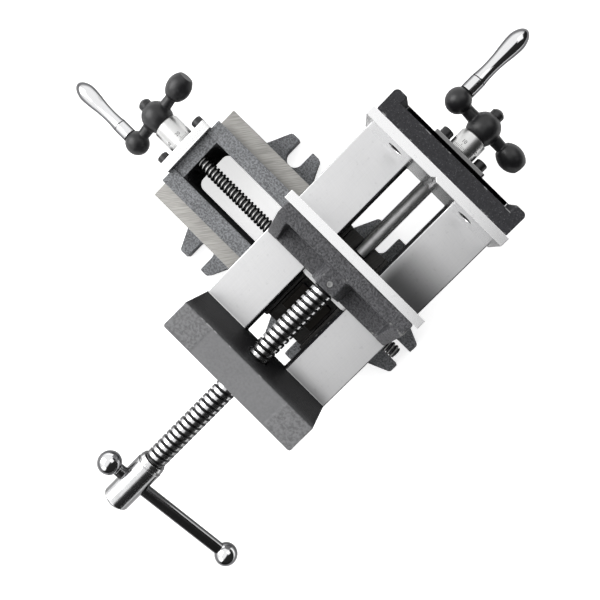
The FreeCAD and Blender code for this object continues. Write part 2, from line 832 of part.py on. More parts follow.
# X gib between the base's dovetail and the saddle's front wall, with three screws and lock nuts
x_gib = new_body("x_gib_body")
add(x_gib, "YZ", gib_section(as_size(0), s.shoulder_height, -1),
    centre - saddle_side, centre + saddle_side)
gib_wall = gib_face(gib_screw_level)
gib_outside = gib_wall + s.gib_dimple_room
dimple = s.gib_screw_diameter / 2 + s.fit_gap
for turn in (-1, 0, 1):
    cut(x_gib, "XZ", (centre + turn * s.gib_screw_pitch, gib_level, dimple), -gib_outside, -gib_wall)
keep(x_gib, "x_gib")


def gib_screws(tag, wall, spots, rotation):
    """Headless screws through a wall against the gib, each with a lock nut outside."""
    screws, nuts = [], []
    for index, spot in enumerate(spots, start=1):
        screws.append(grub_screw(f"{tag}_gib_screw_{index}", s.gib_screw_diameter,
                                 wall - gib_wall + s.gib_screw_tail, spot, rotation))
        nut = new_body(f"{tag}_gib_nut_{index}")
        start = wall - gib_wall
        add(nut, "YZ", hexagon(s.gib_nut_flats), start, start + s.gib_nut_height)
        cut(nut, "YZ", (0, 0, s.gib_screw_diameter / 2), start, start + s.gib_nut_height)
        place(nut, *spot, rotation)
        nuts.append(nut)
    group(f"{tag}_gib_screws", screws)
    group(f"{tag}_gib_locknuts", nuts)


x_spots = [(centre + turn * s.gib_screw_pitch, -gib_wall, gib_level) for turn in (-1, 0, 1)]
gib_screws("x", saddle_front, x_spots, TO_MINUS_Y)

# Vise body: rails, T-shaped slot, front block for the main screw and the fixed jaw, in one casting
body = new_body("vise_body")
half_body = s.body_width / 2
half_waist = half_body - s.body_waist
edge_foot = rails - s.rail_edge
waist_top = edge_foot - s.body_waist
add(body, "XZ", [
    (centre - half_waist, body_bottom),
    (centre + half_waist, body_bottom),
    (centre + half_waist, waist_top),
    (centre + half_body, edge_foot),
    (centre + half_body, rails),
    (centre - half_body, rails),
    (centre - half_body, edge_foot),
    (centre - half_waist, waist_top),
], s.body_front, s.body_rear)
add(body, "YZ", [
    (s.body_front, edge_foot),
    (s.body_front + s.front_block_foot, edge_foot),
    (s.body_front + s.front_block_foot, rails),
    (s.body_front + s.front_block_top, jaw_top),
    (s.body_front, jaw_top),
], centre - half_body, centre + half_body)
half_jaw = half_body - s.fixed_jaw_inset
add(body, "YZ", rectangle(fixed_seat, fixed_seat + s.fixed_jaw_web, edge_foot, jaw_top),
    centre - half_jaw, centre + half_jaw)
for side in (-1, 1):
    outer, inner = side * half_jaw, side * (half_jaw - s.rib_width)
    low, high = (outer, inner) if side < 0 else (inner, outer)
    add(body, "YZ", [
        (fixed_seat, edge_foot),
        (s.body_rear, edge_foot),
        (s.body_rear, rails),
        (fixed_seat + s.fixed_rib_top, jaw_top),
        (fixed_seat, jaw_top),
    ], centre + low, centre + high)


def front_block_edge(edge, middle):
    tall = upright(edge) and edge.Length > SIZES["jaw_height"]
    return tall and near(middle.y, s.body_front, 0.3)


round_edges(body, s.front_block_corner, front_block_edge)


def rib_corner_edge(edge, middle):
    """The sloping rear edges at the outer sides of the fixed jaw's end ribs."""
    outer = near(abs(middle.x - centre.value), half_jaw)
    return outer and middle.y > (fixed_seat + s.fixed_rib_top).value and middle.z > rails.value + 1


round_edges(body, s.rib_corner, rib_corner_edge)
plate_half = s.bearing_plate_width / 2
plate_low = y_axis - s.bearing_plate_height / 2
wall_start = s.body_rear - s.rear_wall
add(body, "XY", rectangle(centre - plate_half, centre + plate_half, wall_start, s.body_rear),
    plate_low, body_bottom + 1)
cut(body, "XZ", female_dovetail(centre, saddle_deck, body_bottom, body_ceiling, 1),
    s.body_front, wall_start)
slot_half, lower_half = s.body_slot_width / 2, s.lower_slot_width / 2
groove_half = s.keeper_groove_width / 2
slot_span = (s.body_slot_front, s.body_slot_rear)
cut(body, "XY", rectangle(centre - slot_half, centre + slot_half, *slot_span), keeper_floor, rails)
cut(body, "XY", rectangle(centre - lower_half, centre + lower_half, *slot_span), saddle_top, keeper_floor)
cut(body, "XY", rectangle(centre - groove_half, centre + groove_half, *slot_span), keeper_floor, keeper_roof)
main_bore = s.main_screw_diameter / 2 + s.fit_gap
cut(body, "XZ", (centre, main_axis, main_bore), s.body_front, s.body_front + s.front_block_foot)
cut(body, "XZ", (centre, y_axis, lead_bore), wall_start, s.body_rear)
for side in (-1, 1):
    cut(body, "XZ", (centre + side * s.y_plate_screw_pitch / 2, y_axis, s.plate_screw_diameter / 2),
        s.body_rear - s.plate_screw_bite, s.body_rear)
jaw_screw_level = rails + s.jaw_height / 2
for side in (-1, 1):
    cut(body, "XZ", (centre + side * s.jaw_screw_pitch / 2, jaw_screw_level, s.jaw_screw_diameter / 2),
        fixed_seat, fixed_seat + s.jaw_screw_bite)
y_gib_level = saddle_deck + gib_screw_level
body_spots = [turn * s.gib_screw_pitch for turn in (-1, 0, 1)]
for along in body_spots:
    cut(body, "YZ", (along, y_gib_level, s.gib_screw_diameter / 2), centre + gib_wall - s.hole_overrun,
        centre + half_waist)
keep(body, "vise_body_casting")

y_gib = new_body("y_gib_body")
add(y_gib, "XZ", gib_section(centre, saddle_deck, 1), s.body_front, wall_start - 1)
for along in body_spots:
    cut(y_gib, "YZ", (along, y_gib_level, dimple), centre + gib_wall, centre + gib_outside)
keep(y_gib, "y_gib")
y_spots = [(centre + gib_wall, along, y_gib_level) for along in body_spots]
gib_screws("y", half_waist, y_spots, FreeCAD.Rotation())

# Y feed at the rear of the vise body
y_feed_place = (centre, s.body_rear + s.bearing_plate_thickness, y_axis)
bearing_plate("y_bearing_plate", s.y_plate_screw_pitch, y_feed_place, TO_PLUS_Y)
group("y_plate_screws", [
    head_screw(f"y_plate_screw_{side + 2}", *plate_screw_sizes, plate_screw_length,
               (centre + side * s.y_plate_screw_pitch / 2, y_feed_place[1], y_axis), TO_MINUS_Y)
    for side in (-1, 1)])
feed_set("y", s.y_screw_length, s.y_dial_length, y_feed_place,
         spin((0, 1, 0), SIZES["y_crank_angle"]) * TO_PLUS_Y)


def jaw_plate(label, face, outward, bottom, grooved):
    """A ground plate; outward is the direction its gripping face looks along Y."""
    plate = new_body(f"{label}_body")
    back = face - outward * s.jaw_plate_thickness
    low, high = (back, face) if outward > 0 else (face, back)
    half = half_body + s.jaw_plate_overhang
    add(plate, "XZ", rectangle(centre - half, centre + half, bottom, jaw_top), low, high)
    if grooved:
        wide = s.jaw_groove_width / 2
        cut(plate, "XY", [
            (centre - wide, face),
            (centre, face - outward * s.jaw_groove_depth),
            (centre + wide, face),
        ], bottom, jaw_top)
    for side in (-1, 1):
        spot = (centre + side * s.jaw_screw_pitch / 2, jaw_screw_level)
        cut(plate, "XZ", (*spot, s.jaw_screw_diameter / 2 + s.fit_gap), low, high)
        sink = face - outward * s.jaw_screw_head_depth
        head_low, head_high = (sink, face) if outward > 0 else (face, sink)
        cut(plate, "XZ", (*spot, s.jaw_screw_head / 2), head_low, head_high)
    return keep(plate, label)


def jaw_screws(label, face, outward, rotation):
    """Flush screws that hold a jaw plate on its casting."""
    sunk = s.jaw_screw_head_depth - s.slide_gap * 3
    seat = face - outward * s.jaw_screw_head_depth
    length = s.jaw_plate_thickness - s.jaw_screw_head_depth + s.jaw_screw_bite
    group(label, [
        head_screw(f"{label}_{side + 2}", s.jaw_screw_head, sunk, s.jaw_screw_diameter, length,
                   (centre + side * s.jaw_screw_pitch / 2, seat, jaw_screw_level), rotation)
        for side in (-1, 1)])


jaw_plate("fixed_jaw_plate", s.fixed_face, -1, rails, True)
jaw_screws("fixed_jaw_screws", s.fixed_face, -1, TO_PLUS_Y)

# Moving jaw: foot, web, end gussets, a boss round the screw's end and a tongue in the slot
jaw = new_body("moving_jaw")
half_jaw = half_body - s.moving_jaw_inset
web_back = moving_seat - s.moving_web
foot_top = rails + s.moving_foot_height
add(jaw, "YZ", [
    (moving_back, jaw_bottom),
    (moving_seat, jaw_bottom),
    (moving_seat, jaw_top),
    (web_back, jaw_top),
    (web_back, foot_top),
    (moving_back, foot_top - 2),
], centre - half_jaw, centre + half_jaw)
for side in (-1, 1):
    outer, inner = side * half_jaw, side * (half_jaw - s.rib_width)
    low, high = (outer, inner) if side < 0 else (inner, outer)
    add(jaw, "YZ", [
        (moving_back, jaw_bottom),
        (moving_seat, jaw_bottom),
        (moving_seat, jaw_top),
        (web_back, jaw_top),
        (moving_back, foot_top),
    ], centre + low, centre + high)
add(jaw, "XZ", (centre, main_axis, s.boss_diameter / 2), moving_back, web_back)
ridge, ridge_foot = s.boss_ridge_width / 2, s.boss_ridge_foot / 2
ridge_top = main_axis + s.boss_ridge_rise
add(jaw, "XZ", [
    (centre - ridge_foot, main_axis),
    (centre + ridge_foot, main_axis),
    (centre + ridge, ridge_top),
    (centre - ridge, ridge_top),
], moving_back, web_back)
tongue = slot_half - s.slide_gap * 2
tongue_bottom = keeper_roof - s.slide_gap * 2
add(jaw, "XY", rectangle(centre - tongue, centre + tongue, moving_back, moving_seat),
    tongue_bottom, jaw_bottom + 1)
journal_hole = s.main_journal / 2 + s.fit_gap
journal_end = moving_back + s.main_journal_length
cut(jaw, "XZ", (centre, main_axis, journal_hole), moving_back, journal_end + s.slide_gap * 3)
set_place = moving_back + s.main_groove_place
cut(jaw, "XY", (centre, set_place, s.set_screw_diameter / 2), main_axis, ridge_top)
for side in (-1, 1):
    cut(jaw, "XZ", (centre + side * s.jaw_screw_pitch / 2, jaw_screw_level, s.jaw_screw_diameter / 2),
        moving_seat - s.jaw_screw_bite, moving_seat)
keeper_middle = (moving_back + moving_seat) / 2
keeper_spots = [(centre + side * s.keeper_screw_pitch / 2, keeper_middle) for side in (-1, 1)]
keeper_hole = s.keeper_screw_diameter / 2
for spot in keeper_spots:
    cut(jaw, "XY", (*spot, keeper_hole), tongue_bottom, tongue_bottom + s.keeper_screw_bite)
keep(jaw, "moving_jaw_casting")
jaw_plate("moving_jaw_plate", moving_face, 1, jaw_bottom, False)
jaw_screws("moving_jaw_screws", moving_face, 1, TO_MINUS_Y)

# Keeper plate under the rails and its two screws from below
keeper = new_body("keeper")
half_width, half_length = s.keeper_width / 2, s.keeper_length / 2
keeper_bottom = tongue_bottom - s.keeper_thickness
add(keeper, "XY", rectangle(centre - half_width, centre + half_width, keeper_middle - half_length,
                            keeper_middle + half_length), keeper_bottom, tongue_bottom)
round_edges(keeper, s.keeper_corner, lambda edge, middle: upright(edge))
for spot in keeper_spots:
    cut(keeper, "XY", (*spot, keeper_hole + s.fit_gap), keeper_bottom, tongue_bottom)
keep(keeper, "keeper_plate")
keeper_screw_sizes = (s.keeper_screw_head, s.keeper_screw_head_height, s.keeper_screw_diameter)
group("keeper_screws", [
    head_screw(f"keeper_screw_{index}", *keeper_screw_sizes, s.keeper_thickness + s.keeper_screw_bite,
               (*spot, keeper_bottom), UPWARDS)
    for index, spot in enumerate(keeper_spots, start=1)])

# Set screw that holds the main screw's end in the moving jaw
groove_top = main_axis + s.main_groove / 2 + s.fit_gap
set_screw = new_body("set_screw")
add(set_screw, "XY", (centre, set_place, s.set_screw_diameter / 2), groove_top, ridge_top - 0.6)
keep(set_screw, "jaw_set_screw")

# Main screw: local X points from the moving jaw to the T-handle, the cross hole runs along local Y
main_place = (centre, moving_back - s.slide_gap, main_axis)
main_rotation = spin((0, 1, 0), SIZES["bar_angle"]) * TO_MINUS_Y
main = new_body("main")
journal, groove = s.main_journal / 2, s.main_groove / 2
thread, head = s.main_screw_diameter / 2, s.head_diameter / 2
groove_middle = -s.main_groove_place - s.slide_gap
head_start = s.main_thread_length
head_end = head_start + s.head_length
revolve(main, [
    (-s.main_journal_length, 0),
    (-s.main_journal_length, journal - 0.8),
    (0.8 - s.main_journal_length, journal),
    (groove_middle - s.main_groove_width / 2, journal),
    (groove_middle - s.main_groove_width / 2, groove),
    (groove_middle + s.main_groove_width / 2, groove),
    (groove_middle + s.main_groove_width / 2, journal),
    (0, journal),
    (0, thread - 1),
    (1, thread),
    (head_start, thread),
    (head_start, head - s.head_chamfer),
    (head_start + s.head_chamfer, head),
    (head_end - s.head_end_length, head),
    (head_end, s.head_end_diameter / 2),
    (head_end, 0),
])
bar_spot = head_start + s.bar_hole_place
cut(main, "XZ", (bar_spot, 0, s.bar_diameter / 2 + s.fit_gap * 2), -head, head)
place(main, *main_place, main_rotation)
keep(main, "main_screw")

# T-handle bar with a ball screwed on each end
ball = s.bar_ball_diameter / 2
bar = new_body("bar")
bar_low, bar_high = -s.bar_short_end + ball - 1, s.bar_long_end - ball + 1
add(bar, "XZ", (bar_spot, 0, s.bar_diameter / 2), bar_low, bar_high)
add(bar, "XZ", (bar_spot, 0, s.bar_diameter / 2 - 1), bar_low - s.bar_spigot, bar_high + s.bar_spigot)
place(bar, *main_place, main_rotation)
keep(bar, "t_bar")
knobs = (("left", -s.bar_short_end, bar_low, -1), ("right", s.bar_long_end, bar_high, 1))
for name, middle, end, way in knobs:
    knob = new_body(f"bar_ball_{name}")
    add_sphere(knob, ball, bar_spot, middle)
    outside = end - way * 1.2
    low, high = (outside, end) if way > 0 else (end, outside)
    cut(knob, "XZ", (bar_spot, 0, ball), low, high)
    tip = end + way * s.bar_spigot
    low, high = (end, tip) if way > 0 else (tip, end)
    cut(knob, "XZ", (bar_spot, 0, s.bar_diameter / 2 - 1), low, high)
    place(knob, *main_place, main_rotation)
    keep(knob, f"t_bar_ball_{name}")

doc.recompute()

# Every object must have worked, and every piece must be a sound solid, before anything is written
failed = [thing.Label for thing in doc.Objects if "Invalid" in thing.State or "Error" in thing.State]
if failed:
    raise RuntimeError(f"These objects failed: {failed}")
for node in nodes:
    if node.Shape.isNull() or not node.Shape.isValid() or not node.Shape.Solids:
        raise RuntimeError(f"{node.Label} has no valid solid")

os.makedirs("parts", exist_ok=True)
for node in nodes:
    node.Shape.exportStep(f"parts/{node.Label}.step")
    print(f"{node.Label}: {len(node.Shape.Solids)} solids, {node.Shape.Volume / 1000:.2f} cm3")
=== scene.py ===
import bmesh
import bpy
import math
from mathutils import Matrix, Vector


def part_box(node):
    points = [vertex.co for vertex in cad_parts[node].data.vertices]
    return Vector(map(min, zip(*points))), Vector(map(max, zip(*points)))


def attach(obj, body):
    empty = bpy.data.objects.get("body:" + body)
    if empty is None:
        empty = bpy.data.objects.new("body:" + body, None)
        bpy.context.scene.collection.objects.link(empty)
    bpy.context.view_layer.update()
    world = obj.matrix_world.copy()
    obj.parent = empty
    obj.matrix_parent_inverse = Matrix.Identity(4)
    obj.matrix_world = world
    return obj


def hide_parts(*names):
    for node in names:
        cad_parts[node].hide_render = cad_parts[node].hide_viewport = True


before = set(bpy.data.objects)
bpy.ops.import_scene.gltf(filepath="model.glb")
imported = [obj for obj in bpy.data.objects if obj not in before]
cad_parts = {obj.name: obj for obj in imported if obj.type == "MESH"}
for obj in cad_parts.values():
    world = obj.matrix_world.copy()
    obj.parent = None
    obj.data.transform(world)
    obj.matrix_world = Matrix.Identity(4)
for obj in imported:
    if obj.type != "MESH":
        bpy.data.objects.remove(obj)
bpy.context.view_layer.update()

# The base is one grey iron casting: a box frame with a long slot, five forked ears and a dovetail along
# its top. It is sprayed with thick hammered enamel, and afterwards its two shoulders and the dovetail's
# flanks are milled bare, which leaves slanting cutter marks.
MM = 0.001
MERGE = 1e-6
FLAT = math.radians(0.4)
SHARP = math.radians(30)
CREASE = math.radians(42)
SHORTEST_BROKEN = 1.2
LEVEL = 0.9
BASE_EDGE = 0.7
SHOULDER_LEVEL = 36.0
HAMMER_GREY = (0.165, 0.170, 0.178, 1)
MILLED_IRON = (0.36, 0.352, 0.335, 1)
GRIME_AND_SHADE = (0.010, 0.010, 0.011, 1)
SLOT_SIDE = 16.5
SLOT_END = 84.5
SLOT_TOP = 45.3


class Wire:
    """An output socket of a node tree. Arithmetic on wires adds Math nodes to the tree."""

    def __init__(self, graph, socket):
        self.graph = graph
        self.socket = socket

    def math(self, operation, *others):
        """A Math node that has this wire as its first value."""
        return self.graph.math(operation, self, *others)

    def __add__(self, other):
        return self.math("ADD", other)

    def __sub__(self, other):
        return self.math("SUBTRACT", other)

    def __rsub__(self, other):
        return self.graph.math("SUBTRACT", other, self)

    def __mul__(self, other):
        return self.math("MULTIPLY", other)

    def __truediv__(self, other):
        return self.math("DIVIDE", other)

    __radd__ = __add__
    __rmul__ = __mul__


class Graph:
    """One node tree: node() adds a node of any type and gives one of its outputs."""

    def __init__(self, tree):
        self.tree = tree

    def node(self, kind, settings=None, sockets=None, output=0):
        made = self.tree.nodes.new(kind)
        for name, value in (settings or {}).items():
            setattr(made, name, value)
        for name, value in (sockets or {}).items():
            self.plug(made.inputs[name], value)
        return Wire(self, made.outputs[output])

    def math(self, operation, *values):
        return self.node("ShaderNodeMath", {"operation": operation}, dict(enumerate(values)))

    def vector(self, x=0.0, y=0.0, z=0.0):
        return self.node("ShaderNodeCombineXYZ", None, {"X": x, "Y": y, "Z": z})

    def part(self, vector, axis):
        return self.node("ShaderNodeSeparateXYZ", None, {0: vector}, output=axis)

    def polar(self, x, radius, angle):
        """A point at an angle round X."""
        return self.vector(x, radius * angle.math("COSINE"), radius * angle.math("SINE"))

    def plug(self, socket, value):
        if isinstance(value, Wire):
            self.tree.links.new(value.socket, socket)
        else:
            socket.default_value = value


class Finish(Graph):
    """A material whose patterns lie on the piece's own coordinates, in millimetres."""

    def __init__(self, name, fixed=None):
        self.material = bpy.data.materials.new(name)
        self.material.use_nodes = True
        super().__init__(self.material.node_tree)
        self.shader = self.tree.nodes["Principled BSDF"]
        for socket, value in (fixed or {}).items():
            self.shader.inputs[socket].default_value = value
        place = self.node("ShaderNodeTexCoord", output="Object")
        self.place = self.node("ShaderNodeVectorMath", {"operation": "SCALE"}, {0: place, "Scale": 1 / MM})

    def mark(self, name):
        """A value that the piece's own mesh carries, such as where it is bare."""
        return self.node("ShaderNodeAttribute", {"attribute_name": name}, output="Fac")

    def along(self, axis):
        return self.part(self.place, axis)

    def grain(self, size, detail=2.0, place=None):
        """Blots about size millimetres across, from 0 to 1."""
        return self.node("ShaderNodeTexNoise", None,
                         {"Vector": place or self.place, "Scale": 1 / size, "Detail": detail})

    def streaks(self, sizes, angle=0.0, detail=3.0):
        """Blots as long as sizes on each axis, turned about Z by an angle in degrees."""
        turned = self.node("ShaderNodeVectorRotate", {"rotation_type": "Z_AXIS"},
                           {"Vector": self.place, "Angle": math.radians(angle)})
        stretched = self.node("ShaderNodeVectorMath", {"operation": "DIVIDE"}, {0: turned, 1: sizes})
        return self.grain(1.0, detail, stretched)

    def fade(self, value, low, high):
        """Rises smoothly from 0 to 1 as the value goes from low to high."""
        return self.node("ShaderNodeMapRange", {"interpolation_type": "SMOOTHSTEP"},
                         {"Value": value, "From Min": low, "From Max": high})

    def fall(self, value, low, high):
        return 1 - self.fade(value, low, high)

    def band(self, value, rise, fall):
        """Rises from 0 to 1 over one stretch of the value and falls to 0 over another."""
        return self.fade(value, *rise) * self.fall(value, *fall)

    def rim(self, low, high):
        """A painted dark reflection: rises from 0 to 1 where the surface turns away from the eye, where
        plating looks dark.
        """
        facing = self.node("ShaderNodeLayerWeight", None, {"Blend": 0.5}, output="Facing")
        return self.fade(facing, low, high)

    def tint(self, share, first, second):
        return self.node("ShaderNodeMix", {"data_type": "RGBA"}, {0: share, 6: first, 7: second}, output=2)

    def shift(self, share, first, second):
        return self.node("ShaderNodeMix", None, {0: share, 2: first, 3: second})

    def surface(self, colour, roughness, metallic=None, height=None):
        """Joins the patterns to the shader; height is in millimetres."""
        self.plug(self.shader.inputs["Base Color"], colour)
        self.plug(self.shader.inputs["Roughness"], roughness)
        if metallic is not None:
            self.plug(self.shader.inputs["Metallic"], metallic)
        if height is not None:
            bump = self.node("ShaderNodeBump", None, {"Strength": 1.0, "Distance": MM, "Height": height})
            self.plug(self.shader.inputs["Normal"], bump)
        return self.material


def scaled(colour, share, top=1.0):
    """A darker or paler shade of a colour."""
    return tuple(min(top, share * part) for part in colour[:3]) + (1,)


def span(node):
    """Lowest and highest corner of a part, in millimetres."""
    low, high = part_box(node)
    return low / MM, high / MM


def poured(name, form):
    """The mesh of a skin, which is then let go."""
    mesh = bpy.data.meshes.new(name)
    form.to_mesh(mesh)
    form.free()
    return mesh


def placed(name, data):
    made = bpy.data.objects.new(name, data)
    bpy.context.scene.collection.objects.link(made)
    return made


def taken(holder):
    """The mesh of an object as its modifiers leave it."""
    return bpy.data.meshes.new_from_object(holder.evaluated_get(bpy.context.evaluated_depsgraph_get()))


def settle(name, form, material):
    """Makes an object of a mesh in metres: smooth, with its flats kept flat and its creases crisp."""
    for face in form.faces:
        face.smooth = True
    for edge in form.edges:
        edge.smooth = len(edge.link_faces) != 2 or edge.calc_face_angle(0) < CREASE
    made = placed(name, poured(name, form))
    flats = made.modifiers.new("flats", "WEIGHTED_NORMAL")
    flats.keep_sharp = True
    made.data = taken(made)
    made.modifiers.remove(flats)
    made.data.name = name
    made.data.materials.clear()
    made.data.materials.append(material)
    return made


def stand_for(piece, body, slot, *nodes):
    """The piece moves with its body and stands for these parts; the slot is not used."""
    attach(piece, body)
    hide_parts(*nodes)


def dress(name, body, slot, node, edge_round, material, bare=None):
    """A merged copy of a part with its sharp edges broken, and its worn edges and bare faces marked.

    The shortest edges, at the ends of fillets, stay sharp.
    """
    form = bmesh.new()
    form.from_mesh(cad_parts[node].data)
    bmesh.ops.remove_doubles(form, verts=form.verts, dist=MERGE)
    bmesh.ops.dissolve_limit(form, angle_limit=FLAT, verts=form.verts, edges=form.edges)
    worn_layer = form.faces.layers.float.new("worn")
    bare_layer = form.faces.layers.float.new("bare")
    for face in form.faces:
        if bare and bare(face.calc_center_median() / MM, face.normal):
            face[bare_layer] = 1.0
    sharp = [edge for edge in form.edges if len(edge.link_faces) == 2 and edge.calc_face_angle() > SHARP
             and edge.calc_length() > SHORTEST_BROKEN * edge_round * MM]
    broken = bmesh.ops.bevel(form, geom=sharp, offset=edge_round * MM, offset_type="OFFSET", segments=2,
                             profile=0.5, affect="EDGES", clamp_overlap=False, loop_slide=True)
    for face in broken["faces"]:
        face[worn_layer] = 1.0
    stand_for(settle(name, form, material), body, slot, node)


def hammered(name, paint, bare_colour, cutter_angle, depth=0.60, dirt_and_shade=None):
    """Hammered enamel on cast iron, worn on its edges, with bare milled faces where marked, and dirt and
    painted shade where a mask says.
    """
    finish = Finish(name, {"Specular IOR Level": 0.35})
    cells = finish.grain(1.25, 2.5)
    dots = finish.grain(0.5, 2.0)
    clouds = finish.grain(24.0, 3.0)
    chips = finish.fade(finish.grain(6.0, 4.0), 0.60, 0.72)
    bare = finish.mark("bare")
    worn = finish.mark("worn") * chips
    metal = bare + worn * (1 - bare) * 0.5
    cuts = finish.fade(finish.streaks((0.55, 16.0, 3.0), cutter_angle, 5.0), 0.32, 0.68)
    lit = finish.fade(cells + dots * 0.35, 0.50, 0.84)
    enamel = finish.tint(lit * 0.7 + clouds * 0.3, scaled(paint, 0.42), scaled(paint, 1.70))
    iron = finish.tint(cuts * 0.6 + clouds * 0.4, scaled(bare_colour, 0.55), scaled(bare_colour, 1.30))
    colour = finish.tint(metal, enamel, iron)
    roughness = finish.shift(metal, 0.36 + dots * 0.16, 0.34 + cuts * 0.22)
    if dirt_and_shade:
        # Dirt and painted shade: the masked places are painted near black and dull.
        shade = dirt_and_shade(finish)
        colour = finish.tint(shade, colour, GRIME_AND_SHADE)
        roughness = finish.shift(shade, roughness, 0.95)
    height = (cells + dots * 0.4) * depth * (1 - metal) + cuts * metal * 0.03
    return finish.surface(colour, roughness, metal * 0.9, height)


def lies_at(middle, normal, level):
    """Whether a face is level, looks up and has this height."""
    return abs(middle.z - level) < 0.3 and normal.z > LEVEL


def base_bare(middle, normal):
    """Shoulders, the undercut flanks of the dovetail and the underside are milled after painting."""
    flank = SHOULDER_LEVEL < middle.z and -LEVEL < normal.z < -0.2
    return lies_at(middle, normal, SHOULDER_LEVEL) or flank or normal.z < -0.99


def base_slot_shade(finish):
    """Oil, dirt and painted shade blacken the walls of the long slot, where little light reaches."""
    long, wide, level = finish.along("X"), finish.along("Y"), finish.along("Z")
    reach = long.math("ABSOLUTE")
    inside = finish.fall(wide.math("ABSOLUTE"), SLOT_SIDE + 0.1, SLOT_SIDE + 0.5)
    inside = inside * finish.fall(reach, SLOT_END + 0.1, SLOT_END + 0.5)
    return inside * finish.fall(level, SLOT_TOP - 0.6, SLOT_TOP + 0.2)


base_enamel = hammered("grey_hammer_enamel", HAMMER_GREY, MILLED_IRON, 38, dirt_and_shade=base_slot_shade)
dress("base_frame", "base", "grey_paint", "base_casting", BASE_EDGE, base_enamel, base_bare)

# The saddle is an iron casting that carries the vise body across the base. Its two dovetails are milled
# and scraped, and only its outer walls keep their paint.
SADDLE_EDGE = 0.5
# Both colours are darkened towards black as painted shade, since the saddle lies in the shade under the
# vise body.
SADDLE_GREY_IN_SHADE = (0.030, 0.030, 0.033, 1)
SCRAPED_IRON_IN_SHADE = (0.055, 0.054, 0.052, 1)
saddle_low, saddle_high = span("saddle_casting")


def saddle_bare(middle, normal):
    inside = all(saddle_low[axis] + 1 < middle[axis] < saddle_high[axis] - 1 for axis in (0, 1))
    return inside or abs(normal.z) > LEVEL


saddle_iron = hammered("saddle_iron", SADDLE_GREY_IN_SHADE, SCRAPED_IRON_IN_SHADE, 12)
dress("cross_saddle", "saddle", "machined_iron", "saddle_casting", SADDLE_EDGE, saddle_iron, saddle_bare)

# Two gibs, long ground strips of iron, fill the wide side of each dovetail. Three screws press on each
# of them, and they take up the slide's wear.
GIB_EDGE = 0.25
# The gibs' iron is darkened as painted shade, since they lie in the shade under the slides.
GROUND_IRON_IN_SHADE = (0.10, 0.099, 0.095, 1)
WHITEST_METAL = 0.95


def ground(name, colour, grain_sizes, angle=0.0, roughness=0.30, depth=0.012, stain=0.25):
    """Ground or milled metal: fine lines one way, faint clouds and worn bright edges."""
    finish = Finish(name, {"Metallic": 1.0})
    lines = finish.streaks(grain_sizes, angle, 5.0)
    clouds = finish.grain(14.0, 4.0)
    spots = finish.fade(finish.grain(2.2, 5.0), 0.60, 0.72)
    worn = finish.mark("worn")
    dark, pale = scaled(colour, 1 - stain), scaled(colour, 1 + stain * 0.5, WHITEST_METAL)
    base_colour = finish.tint(lines * 0.45 + clouds * 0.35 + (1 - spots) * 0.2, dark, pale)
    colour = finish.tint(worn, base_colour, scaled(colour, 1.25, WHITEST_METAL))
    roughness = roughness - 0.07 + lines * 0.12 + spots * 0.10 + worn * 0.04
    return finish.surface(colour, roughness, None, lines * depth)


for tag, body, angle in (("x", "saddle", 90), ("y", "vise", 0)):
    gib_iron = ground(f"{tag}_gib_ground_iron", GROUND_IRON_IN_SHADE, (0.3, 14.0, 3.0), angle)
    dress(f"{tag}_gib_strip", body, "machined_iron", f"{tag}_gib", GIB_EDGE, gib_iron)

# Each slide is pulled by a bronze nut, a sawn and milled block screwed to the saddle.
NUT_EDGE = 0.5
# The bronze is darkened to near black as painted shade, since the nuts lie in the shade under the vise
# body.
BRONZE_IN_SHADE = (0.014, 0.0128, 0.0115, 1)
nut_bronze = ground("milled_bronze", BRONZE_IN_SHADE, (0.4, 8.0, 3.0), 25, 0.34, 0.02, 0.35)
for tag in ("x", "y"):
    dress(f"{tag}_nut_block", "saddle", "nut_bronze", f"{tag}_feed_nut", NUT_EDGE, nut_bronze)

# The vise body is one iron casting: two rails with a slot between them, a front block that is tapped
# for the main screw, and the fixed jaw. It is enamelled charcoal grey, and its rails and jaw seats are
# ground bare.
BODY_EDGE = 0.7
CHARCOAL = (0.030, 0.030, 0.034, 1)
FLECK_GREY = (0.13, 0.13, 0.137, 1)
FRONT_GREY = (0.245, 0.246, 0.252, 1)
RAIL_STEEL = (0.72, 0.72, 0.725, 1)
PAINTED_SHADE_BLACK = (0.012, 0.012, 0.013, 1)
DULL_STEEL = (0.24, 0.238, 0.232, 1)
body_low, body_high = span("vise_body_casting")
fixed_low, fixed_high = span("fixed_jaw_plate")
rail_level = fixed_low.z
centre = (body_low.x + body_high.x) / 2
SLOT_HALF = 18.0
LABEL_HALF = 31.0
JAW_TOP = 130.0
BODY_DEPTH = 25.0
BLOCK_SLOPE = (18.0, 21.5)
SLOPE_END = (-52.0, -51.0)
SLOT_FRONT = (-58.0, -56.5)
SLOT_REAR = (90.2, 90.8)
SLOT_RIM = (92.2, 92.8)
JAW_SHADOW_START, JAW_SHADOW_END = (24.0, 30.0), (32.0, 72.0)
BLOCK_SHADOW_END = (-54.0, -42.0)


def body_bare(middle, normal):
    """Rails, the seat of the fixed jaw plate, the slot's far wall and the faces below are ground."""
    seat = normal.y < -LEVEL and fixed_low.y - 1 < middle.y < fixed_high.y + 1
    under = middle.z < rail_level - BODY_DEPTH and normal.z < -0.2
    return lies_at(middle, normal, rail_level) or seat or under


